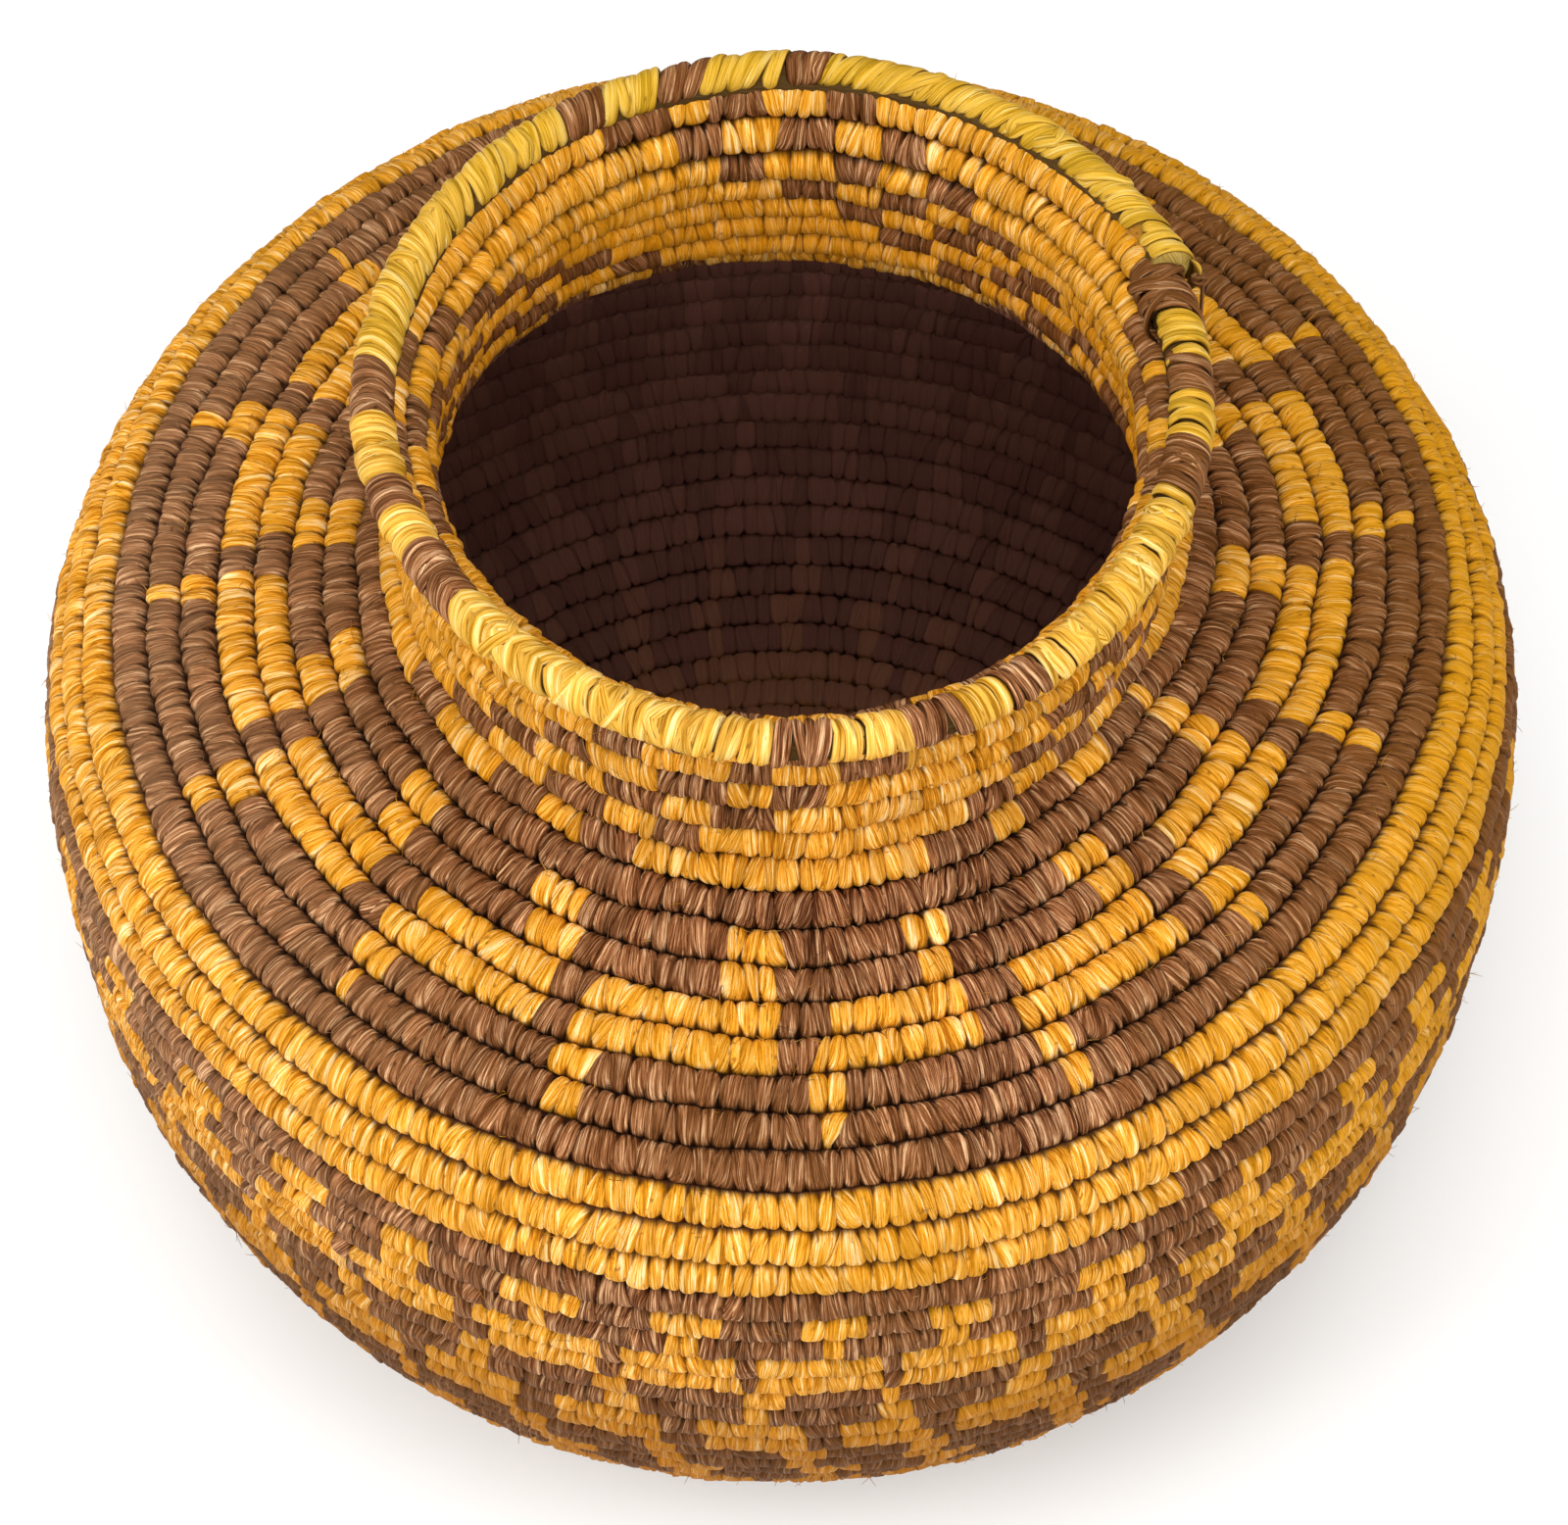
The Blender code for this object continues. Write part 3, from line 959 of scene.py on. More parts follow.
RIM_GOLD = replace(
    FINISHES[0],
    shadow=(0.29, 0.110, 0.003),
    body=(0.62, 0.300, 0.034),
    light=(0.80, 0.465, 0.095),
    glint=(0.91, 0.69, 0.29),
    aged_and_side_shade=(0.43, 0.280, 0.010),
    groove=(0.060, 0.021, 0.001),
    roughness=0.55,
    # Painted shade at the back, and less on the right
    back_shade_share=0.76,
    right_shade_share=0.30,
    fibre=0.42 * MM,
    band=1.4 * MM,
    fibre_run=9.0 * MM,
)


@dataclass
class Pattern:
    """Which stitches are dyed: bands, stepped motifs on the shoulder, checks on the neck and wall."""

    motif_edges: tuple[float, ...] = (
        -132.0, -110.0, -88.9, -66.7, -43.0, -20.5, 3.3, 24.2, 46.9, 69.7, 94.4, 117.5, 139.6, 161.7, 183.8,
        205.9,
    )
    motif_gap: float = 4.1
    motif_lead: float = 0.025
    motif_steps: tuple[tuple[int, tuple[int, float], tuple[int, float]], ...] = (
        (39, (0, 0.5), (0, 2.4)), (40, (0, 0.0), (0, 3.4)), (41, (0, 0.0), (1, 0.0)),
        (42, (0, 1.0), (1, -0.3)), (43, (1, -4.8), (1, 0.2)), (44, (1, -5.6), (1, 0.6)),
    )
    foot_band: Span = (34.0, 35.014)
    low_band: Span = (38.008, 38.975)
    high_band: Span = (44.975, 45.925)
    check_runs: tuple[tuple[float, int, float], ...] = (
        (-61.7, 46, 9.35), (-41.5, 46, 9.35), (-24.3, 46, 9.35), (25.5, 46, 7.2), (41.0, 45, 6.9),
        (56.5, 45, 6.5), (92.8, 45, 9.5), (110.8, 45, 9.4), (129.2, 45, 9.3), (196.5, 46, 9.35),
        (215.5, 46, 9.35), (234.0, 46, 9.35),
    )
    check_half: float = 4.4
    check_count: int = 9
    check_before: float = 80.0
    wall_start: int = 11
    wall_end: float = 323.0
    wall_spans: dict[int, Span] = field(default_factory=lambda: {
        33: (0.80, 1.22), 32: (0.88, 1.12), 31: (0.55, 1.40), 30: (0.55, 1.40), 29: (0.36, 0.62),
        28: (0.36, 0.62), 27: (0.05, 0.80), 26: (0.05, 0.80), 25: (0.70, 0.95), 24: (0.70, 0.95),
    })
    wall_centres: tuple[float, ...] = (-38.0, -29.0, -17.8, -7.0, 3.75, 12.9, 25.0, 36.5, 48.0, 57.5)
    wall_step: float = 11.02

    def dyed(self, turn: np.ndarray) -> np.ndarray:
        """Which stitches are sewn in dyed strand.

        Args:
            turn: The turn of each stitch's middle.

        Returns:
            True for each that is.
        """
        azimuth = azimuth_of(turn)
        chosen = np.zeros(len(turn), bool)
        for low, high in (self.foot_band, self.low_band, self.high_band):
            chosen |= (turn >= low) & (turn < high)
        motif = (turn >= self.low_band[1]) & (turn < self.high_band[0])
        chosen |= motif & ~self.motif_gold(np.floor(turn + self.motif_lead), azimuth)
        chosen |= (turn >= self.high_band[1]) & self.checked(turn, azimuth)
        wall = (turn < self.foot_band[0]) & (turn >= self.wall_start)
        chosen |= wall & ~self.wall_gold(turn, azimuth)
        return chosen

    def motif_gold(self, row: np.ndarray, azimuth: np.ndarray) -> np.ndarray:
        """Where the stepped motif of the shoulder is gold, on its six courses.

        Args:
            row: The course of each stitch.
            azimuth: Its degrees round the jar.

        Returns:
            True where it is gold.
        """
        edges = np.array([*self.motif_edges, self.motif_edges[0] + 360.0])
        place = (azimuth - edges[0]) % 360.0 + edges[0]
        number = np.clip(np.searchsorted(edges, place, side="right") - 1, 0, len(edges) - 2)
        local = place - edges[number]
        bar = edges[number + 1] - edges[number] - self.motif_gap
        gold = np.zeros(len(row), bool)
        for course, (bars, low), (more_bars, high) in self.motif_steps:
            gold |= (row == course) & (local >= bars * bar + low) & (local < more_bars * bar + high)
        return gold

    def checked(self, turn: np.ndarray, azimuth: np.ndarray) -> np.ndarray:
        """Where the neck has a dark check: short runs that climb to the right, a course at a time.

        Args:
            turn: The turn of each stitch.
            azimuth: Its degrees round the jar.

        Returns:
            True where it is dark.
        """
        dark = np.zeros(len(turn), bool)
        before = self.check_before
        for start, course, stride in self.check_runs:
            place = (azimuth - start + before) % 360.0 + start - before
            base = course + ((TURN_START - start) % 360.0 + start) / 360.0
            step = np.round(turn + place / 360.0 - base)
            centre = start + stride * step
            dark |= (step >= 0) & (step < self.check_count) & (np.abs(place - centre) < self.check_half)
        return dark

    def wall_gold(self, turn: np.ndarray, azimuth: np.ndarray) -> np.ndarray:
        """Where the wall below the foot band is gold: small stepped blocks in rows.

        Args:
            turn: The turn of each stitch.
            azimuth: Its degrees round the jar.

        Returns:
            True where it is gold.
        """
        row = np.floor(turn).astype(int)
        even = np.arange(self.wall_centres[-1], self.wall_end, self.wall_step)
        centres = np.append(self.wall_centres[:-1], even)
        place = (azimuth - centres[0]) % 360.0 + centres[0]
        local = np.interp(place, centres, np.arange(len(centres))) % 1.0
        first = min(self.wall_spans)
        gold = np.zeros(len(row), bool)
        for course in range(self.wall_start, int(self.foot_band[0])):
            low, high = self.wall_spans[first + (course - first) % len(self.wall_spans)]
            inside = (local >= low) & (local < high) | (local + 1.0 >= low) & (local + 1.0 < high)
            gold |= (row == course) & inside
        return gold


@dataclass
class Stitches:
    """The stitches of one course, and how each differs from the next."""

    edges: np.ndarray
    leans: np.ndarray
    depths: np.ndarray
    lumps: np.ndarray
    tilts: np.ndarray
    splits: np.ndarray
    split_places: np.ndarray
    skews: np.ndarray
    scallops: np.ndarray
    bends: np.ndarray
    tones: np.ndarray
    dyed: np.ndarray


@dataclass
class Section:
    """The directions round a course's section, each with how far it points up and out."""

    around: np.ndarray

    def __post_init__(self) -> None:
        """Finds the directions' two parts."""
        self.up = np.sin(self.around)
        self.out = np.cos(self.around)


@dataclass
class CourseRings:
    """The rings of points along a course, each on its stitch."""

    each: np.ndarray
    share: np.ndarray
    turn: np.ndarray
    lean: np.ndarray
    depth: np.ndarray
    notch: np.ndarray
    crown: np.ndarray


@dataclass
class CourseMaker:
    """Sews a turn of the coil: a pillow for every stitch, leaning, tucked in at its ends."""

    coil: Coil
    pattern: Pattern
    loom: Loom
    # How wide the stitches are, and how far they lean along the coil
    stitch: float = 3.7 * MM
    fewest: int = 6
    spread: float = 0.20
    widths: Span = (0.55, 1.6)
    lean: float = 0.60 * MM
    # The grooves between them, and how much one stitch stands above the next
    groove: float = 0.56 * MM
    groove_spread: float = 0.20 * MM
    grooves: Span = (0.35 * MM, 1.2 * MM)
    dyed_groove: float = 0.98
    lump: float = 0.16 * MM
    tilt: float = 0.34 * MM
    # The furrow of a stitch that is sewn in two strands
    split: float = 0.30 * MM
    split_share: float = 0.60
    split_sizes: Span = (0.4, 1.3)
    split_places: Span = (0.36, 0.64)
    split_width: float = 0.055
    split_shown: float = 0.5
    split_flank: Span = (0.4, 0.6)
    # The lower end of each stitch, which bites into the course below
    scallop: float = 0.36 * MM
    scallops: Span = (-0.2, 1.6)
    skew: float = 0.16
    bend: float = 0.12
    overlap: float = 0.12 * MM
    pole: float = 0.999
    # The form of a stitch along the coil and round the section
    crown_powers: Span = (7.0, 4.4)
    dent_shares: Span = (0.60, 1.55)
    dent_drop: float = 0.8
    seam_lift: float = 0.05 * MM
    least_radius: float = 4 * MM
    least_stand: float = 0.3 * MM
    earliest: float = -0.95
    floor_gap: float = 0.03 * MM
    fullness_low: float = 2.8
    fullness_high: float = 2.3
    lined_below: float = 44.0
    lined_side: float = -0.2
    lined_fullness: float = 4.6
    lining: float = 0.9 * MM
    # What the finish reads: how far a point lies in a groove, which sets its painted shade, and the painted
    # shade inside the jar, with painted warm light inside the neck
    hidden_depth: float = 0.55 * MM
    hidden_shares: Span = (0.66, 0.34)
    flank: float = 1.15
    notch_depth: float = 0.45 * MM
    notch_least: float = 0.2
    inside: Span = (80.0, 262.0)
    inside_ease: float = 25.0
    # Painted shade inside the jar, paler on the lowest courses and gone by the neck
    shade_share: float = 0.94
    shade_turns: Span = (44.6, 46.8)
    shade_paler: float = 0.19
    shade_paler_below: float = 17.0
    shade_paler_run: float = 6.0
    # Painted warm light inside the neck, fading out towards the rim
    warm_light: float = 0.50
    warm_light_end: float = 48.0
    warm_light_fade: float = 5.0
    # Where the surface has its points
    girth: float = math.tau * 3.8 * MM
    samples: tuple[float, ...] = (0.0, 0.05, 0.13, 0.26, 0.39, 0.50, 0.61, 0.74, 0.87, 0.95)
    outer: tuple[float, ...] = (-90, -70, -50, -30, -10, 10, 30, 50, 70)
    inner: tuple[float, ...] = (90, 113, 141, 169, 196, 224, 248)

    def make(self, name: str, first: float, last: float, seed: int) -> bpy.types.Object:
        """One course.

        Args:
            name: Name of the new piece.
            first: Turn at which it starts.
            last: Turn at which it stops.
            seed: What its random draws start from.

        Returns:
            The course as an object.
        """
        length = self.coil.length_of(first, last)
        lot = self.stitches(first, last, max(self.fewest, round(length / self.stitch)), seed)
        section = Section(np.radians(np.array([*self.outer, *self.inner], float)))
        rings = self.rings(lot, section)
        each, around = rings.each, section.around
        along = np.append(np.unwrap(around), around[0] + math.tau) / math.tau * self.girth
        across = (each + rings.share)[:, None] * self.stitch + lot.skews[each][:, None] * along[None, :]
        paired = lot.splits > self.split_shown * self.split
        second = paired[each] & (rings.share > lot.split_places[each])
        points, wide = self.points(lot, section, rings)
        skin = Skin(
            points=points,
            across=across,
            along=np.repeat(along[None, :], len(across), axis=0),
            rise=self.rises(section, rings, wide),
            tone=lot.tones[each, second.astype(int)][:-1],
            dyed=lot.dyed[each[:-1]],
            strips=max(1, round(math.sqrt(length / self.girth))),
            # Painted shade inside the jar, and painted warm light inside the neck
            painted_shading=self.painted_shade(section, rings.turn),
        )
        return self.loom.piece(name, [skin])

    def stitches(self, first: float, last: float, count: int, seed: int) -> Stitches:
        """Draws the stitches of a course.

        Args:
            first: Turn at which it starts.
            last: Turn at which it stops.
            count: How many stitches it has.
            seed: What the draw starts from.

        Returns:
            The stitches.
        """
        draw = np.random.default_rng(seed)
        widths = np.clip(1.0 + self.spread * draw.standard_normal(count), *self.widths)
        edges = first + (last - first) * np.concatenate([[0.0], np.cumsum(widths)]) / widths.sum()
        leans = self.lean * draw.standard_normal(count + 1)
        leans[[0, -1]] = 0.0
        split = self.split
        return Stitches(
            edges=edges,
            leans=leans,
            depths=np.clip(self.groove + self.groove_spread * draw.standard_normal(count + 1), *self.grooves),
            lumps=self.lump * draw.standard_normal(count),
            tilts=self.tilt * draw.standard_normal(count),
            splits=split * (draw.random(count) < self.split_share) * draw.uniform(*self.split_sizes, count),
            split_places=draw.uniform(*self.split_places, count),
            skews=self.skew * draw.standard_normal(count),
            scallops=self.scallop * draw.uniform(*self.scallops, count),
            bends=draw.uniform(-self.bend, self.bend, count),
            tones=draw.random((count, 2)),
            dyed=self.pattern.dyed((edges[:-1] + edges[1:]) / 2),
        )

    def rings(self, lot: Stitches, section: Section) -> CourseRings:
        """The rings along a course.

        Args:
            lot: Its stitches.
            section: The directions round it.

        Returns:
            The rings.
        """
        count = len(lot.dyed)
        each = np.repeat(np.arange(count), len(self.samples))
        each = np.append(each, count - 1)
        share = np.append(np.tile(self.samples, count), 1.0)
        share = share + lot.bends[each] * np.sin(share * math.pi) ** 2
        depth = np.where(share < 0.5, lot.depths[each], lot.depths[each + 1])
        base, slope = self.crown_powers
        power = (base - slope * np.abs(section.up))[None, :]
        return CourseRings(
            each=each,
            share=share,
            turn=lot.edges[each] + (lot.edges[each + 1] - lot.edges[each]) * share,
            lean=lot.leans[each] + (lot.leans[each + 1] - lot.leans[each]) * share,
            depth=depth * np.where(lot.dyed[each], self.dyed_groove, 1.0),
            notch=lot.splits[each] * np.exp(-(((share - lot.split_places[each]) / self.split_width) ** 2)),
            crown=1.0 - np.abs(2 * share - 1)[:, None] ** power,
        )

    def points(self, lot: Stitches, section: Section, rings: CourseRings) -> tuple[np.ndarray, np.ndarray]:
        """Where the course's surface lies.

        Args:
            lot: Its stitches.
            section: The directions round it.
            rings: The rings along it.

        Returns:
            The points of each ring, and how far out of the section's middle each lies, from -1 to 1.
        """
        up, each, crown = section.up, rings.each, rings.crown
        lined = (rings.turn < self.lined_below)[:, None] & (section.out < self.lined_side)[None, :]
        fullness = np.where(up < 0, self.fullness_low, self.fullness_high)[None, :]
        fullness = np.where(lined, self.lined_fullness, fullness)
        high = np.sign(up) * np.abs(up) ** (2 / fullness)
        wide = np.sign(section.out) * np.abs(section.out) ** (2 / fullness)
        base, slope = self.dent_shares
        dent = rings.depth[:, None] * (1 - crown) * (base + slope * up**2)[None, :]
        base, slope = self.split_flank
        shape = (lot.lumps[each][:, None] * crown + lot.tilts[each][:, None] * (rings.share - 0.5)[:, None]
                 - rings.notch[:, None] * (base + slope * np.abs(wide)) - dent)

        shift = rings.lean[:, None] * up[None, :]
        radius_here = np.maximum(self.coil.section(rings.turn)[0], self.least_radius)[:, None]
        turns = np.clip(rings.turn[:, None] + shift / (math.tau * radius_here), self.earliest, None)
        radius, height, heading, half, bulge = self.coil.section(turns)
        drop = np.where(up < 0, lot.scallops[each][:, None] * crown, -self.seam_lift)
        drop = drop + np.minimum(shape, 0.0) * self.dent_drop
        reach = half + np.where(np.abs(up) > self.pole, self.overlap, drop)
        flat = self.coil.flattened(turns) * np.clip(-wide, 0.0, 1.0) + self.lining * lined
        stand = np.maximum(bulge + shape - flat, self.least_stand)
        rho = radius + np.cos(heading) * reach * high + np.sin(heading) * stand * wide
        level = height + np.sin(heading) * reach * high - np.cos(heading) * stand * wide
        level = np.maximum(level, self.floor_gap)
        angle = self.coil.angle(turns)
        return np.stack([rho * np.cos(angle), rho * np.sin(angle), level], axis=-1), wide

    def rises(self, section: Section, rings: CourseRings, wide: np.ndarray) -> np.ndarray:
        """How far each point stands out of the grooves, which the finish darkens with painted shade.

        Args:
            section: The directions round the course.
            rings: The rings along it.
            wide: How far out of the section's middle each point lies, from -1 to 1.

        Returns:
            The rise, from 0 in a groove to 1.
        """
        base, slope = self.hidden_shares
        hidden = np.clip((1.0 - rings.crown) * rings.depth[:, None] / self.hidden_depth, 0.0, 1.0)
        hidden = hidden * (base + slope * section.up**2)[None, :]
        rise = (1.0 - hidden) * np.clip(np.abs(wide) * self.flank, 0, 1)
        return rise * np.clip(1.0 - rings.notch[:, None] / self.notch_depth, self.notch_least, 1.0)

    def painted_shade(self, section: Section, turn: np.ndarray) -> np.ndarray:
        """How much painted shade each point gets inside the jar. It is below 0 where painted warm light makes
        the gold warmer.

        Args:
            section: The directions round the course.
            turn: The turn of each ring.

        Returns:
            One value for each point.
        """
        degrees = np.degrees(section.around)
        low, high = self.inside
        inside = smooth((degrees - low) / self.inside_ease) * smooth((high - degrees) / self.inside_ease)
        full = self.shade_share - self.shade_paler * smooth((self.shade_paler_below - turn) / self.shade_paler_run)
        low, high = self.shade_turns
        shade_share = full * (1.0 - smooth((turn - low) / (high - low)))
        fade = 1.0 - smooth((turn - self.warm_light_end) / self.warm_light_fade)
        shade_share = shade_share - self.warm_light * smooth(turn - high) * fade
        return shade_share[:, None] * inside[None, :]


@dataclass
class Ring:
    """The line that the rim follows: a ring that wanders off true, and steps out where its two ends meet."""

    radius: float
    height: float
    drifts: tuple[tuple[float, float, float], ...] = (
        (110.0, 3.1, 0.7), (120.0, 1.8, 0.6), (135.0, 0.9, 0.4), (150.0, 0.4, 0.2), (165.0, 0.25, 0.15),
        (180.0, -0.2, -0.1), (195.0, -0.7, -0.4), (225.0, -0.7, -0.3), (260.0, -1.2, 0.0), (275.0, -0.8, 0.0),
        (300.0, -1.2, 0.4), (330.0, -0.1, 0.0), (340.0, 0.6, -0.4), (360.0, 1.9, -1.25), (385.0, 2.0, -1.3),
        (405.0, 1.1, -0.6), (420.0, 0.1, 0.0), (440.0, -0.2, 0.0), (464.0, -0.5, 0.0), (470.0, -0.4, 0.0),
    )

    def centre(self, azimuth: float, along: np.ndarray) -> tuple[np.ndarray, np.ndarray]:
        """The line's radius and height.

        Args:
            azimuth: Degrees round the jar.
            along: Degrees on from there, within the same wrap.

        Returns:
            Radii and heights.
        """
        first, last = self.drifts[0][0], self.drifts[-1][0]
        place = np.clip((azimuth - first) % 360.0 + first + along, first, last)
        places, out, up = zip(*self.drifts)
        radius = self.radius + np.interp(place, places, out) * MM
        return radius, self.height + np.interp(place, places, up) * MM


@dataclass
class StrandWrap:
    """A flat strand laid round the rim's section, as rings of a thin lens."""

    ring: Ring
    body: float
    rings: int = 26
    foot_angle: float = 232.0
    foot_power: float = 1.5
    lens: tuple[tuple[float, float], ...] = (
        (-0.50, 0.05), (-0.43, 0.50), (-0.28, 0.85), (-0.10, 1.0), (0.10, 1.0), (0.28, 0.85), (0.43, 0.50),
        (0.50, 0.05), (0.30, -0.8), (-0.30, -0.8),
    )
    # Both ends are tucked in: there the strand is narrower, lies deeper and gets more painted shade
    tuck_start: float = 0.45
    tuck_end: float = 0.60
    narrow: Span = (0.52, 0.48)
    sunk: Span = (0.2, 0.8)
    shown: Span = (0.35, 0.65)
    # How far its edges and crown stand out of the groove, which sets their painted shade, and how unlike the
    # next its grain is
    edge_rise: float = 0.10
    crown_rise: float = 0.95
    least_rise: float = 0.05
    tone_shift: float = 40

    def foot(self, angles: np.ndarray) -> np.ndarray:
        """How much each angle of the section points down to the rim's seat."""
        return np.clip(np.cos(angles - math.radians(self.foot_angle)), 0.0, 1.0) ** self.foot_power

    def skin(
        self, azimuth: float, width: float, lean: Span, span: Span, lift: float, crown: float, tone: float,
        dyed: bool, tilt: float = 0.0, reach: float = 0.0, crest: float = 82.0,
    ) -> Skin:
        """One strand round the rim.

        Args:
            azimuth: Degrees round the jar where it crosses the crest.
            width: The strand's width.
            lean: How far it runs along the rim per radian, below and above the crest.
            span: The section's angles in degrees where it starts and stops, 0 outward and 90 upward.
            lift: How far it lies above the rim's body.
            crown: How much its middle stands above its edges.
            tone: Its own shade.
            dyed: Whether it is dyed.
            tilt: How much its left edge stands above its right edge.
            reach: How much further down it is drawn at the foot of the rim.
            crest: The section's angle at which its lean changes.

        Returns:
            The strand's skin.
        """
        angles = np.radians(np.linspace(*span, self.rings))
        away = angles - math.radians(crest)
        run = np.where(away < 0, lean[0] * away, lean[1] * away)
        tuck = smooth((angles - angles[0]) / self.tuck_start) * smooth((angles[-1] - angles) / self.tuck_end)
        least, more = self.narrow
        narrow = width * (least + more * tuck)
        offset = np.array([spot for spot, _ in self.lens])
        stand = np.array([spot for _, spot in self.lens])
        least, more = self.sunk
        rise = (lift + crown * stand - 2 * tilt * offset)[None, :] * (least + more * tuck[:, None])
        rise = self.body + rise
        rise = rise + (reach * self.foot(angles))[:, None]
        slant = np.arctan2(np.where(away < 0, lean[0], lean[1]), self.body)
        side = offset[None, :] * narrow[:, None]
        along_rim = run[:, None] + side * np.cos(slant)[:, None]
        turned = angles[:, None] - side * np.sin(slant)[:, None] / self.body
        middle, level = self.ring.centre(azimuth, np.degrees(along_rim / self.ring.radius))
        rho = middle + rise * np.cos(turned)
        world = math.radians(azimuth - 90.0) + along_rim / self.ring.radius
        points = np.stack([rho * np.cos(world), rho * np.sin(world), level + rise * np.sin(turned)], axis=-1)
        across = np.append(offset, offset[0]) * width + tone * self.tone_shift * MM
        bare = np.clip(self.edge_rise + self.crown_rise * stand, self.least_rise, 1.0)
        least, more = self.shown
        return Skin(
            points=points,
            across=np.repeat(across[None, :], self.rings, axis=0),
            along=np.repeat((angles * self.body)[:, None], len(self.lens) + 1, axis=1),
            rise=bare[None, :] * (least + more * tuck)[:, None],
            tone=np.full(self.rings - 1, tone),
            dyed=np.full(self.rings - 1, dyed),
        )


@dataclass(frozen=True)
class Lay:
    """How the strands lie at an azimuth of the rim: it changes evenly from one to the next."""

    place: float
    low: float
    high: float
    width: float
    crossed: float
    seam: float = 205.0
    crown: float = 1.0


@dataclass(frozen=True)
class Stems:
    """The rim's bundle of stems. Starts and runs are shares of the way round it."""

    sides: int = 12
    rings: int = 361
    inset: float = 0.20 * MM
    # Ridges along it, where one stem lies beside the next
    ridge: float = 0.14 * MM
    ridge_length: float = 3
    ridge_rates: Span = (20, 160)
    # Its end swells under the whipping, and is cut off short
    swell: float = 0.75 * MM
    swell_start: float = 0.982
    swell_run: float = 0.010
    taper: float = 0.45
    taper_start: float = 0.9965
    taper_run: float = 0.0035
    seated: float = 1.9
    stem: float = 2.6
    rise: float = 0.8
    tone: float = 0.5
    strips: int = 5
    # It gets painted shade where the strands hide it, less and then warmer in the gap where it shows, and
    # none at its cut end
    shade_share: float = 0.92
    gap_light_share: float = 1.80
    gap_light_reach: float = 3.5
    gap_light_most: float = 2.4
    unshaded_before: float = 112.0


@dataclass(frozen=True)
class Draws:
    """What each strand over the rim is drawn from, lengths in millimetres and angles in degrees."""

    width: Span = (0.75, 1.25)
    lean: float = 0.40
    start: float = -74.0
    broken: float = 132.0
    seam: Span = (-7.0, 9.0)
    lift: Span = (-0.10, 0.35)
    crown: Span = (0.75, 1.15)
    tilt: Span = (0.05, 0.60)
    # Strands that are drawn over another and lean across it
    crossed_lean: float = 1.6
    crossed_place: float = 1.0
    crossed_width: Span = (2.0, 3.2)
    crossed_start: float = -66.0
    crossed_short: float = 8.0
    crossed_lift: Span = (0.35, 0.60)
    crossed_crown: float = 0.70
    crossed_crest: Span = (50.0, 130.0)
    # How far they stay from the gap, and from a change of colour
    clear_of_hole: float = 5.0
    clear_of_dye: float = 2.2


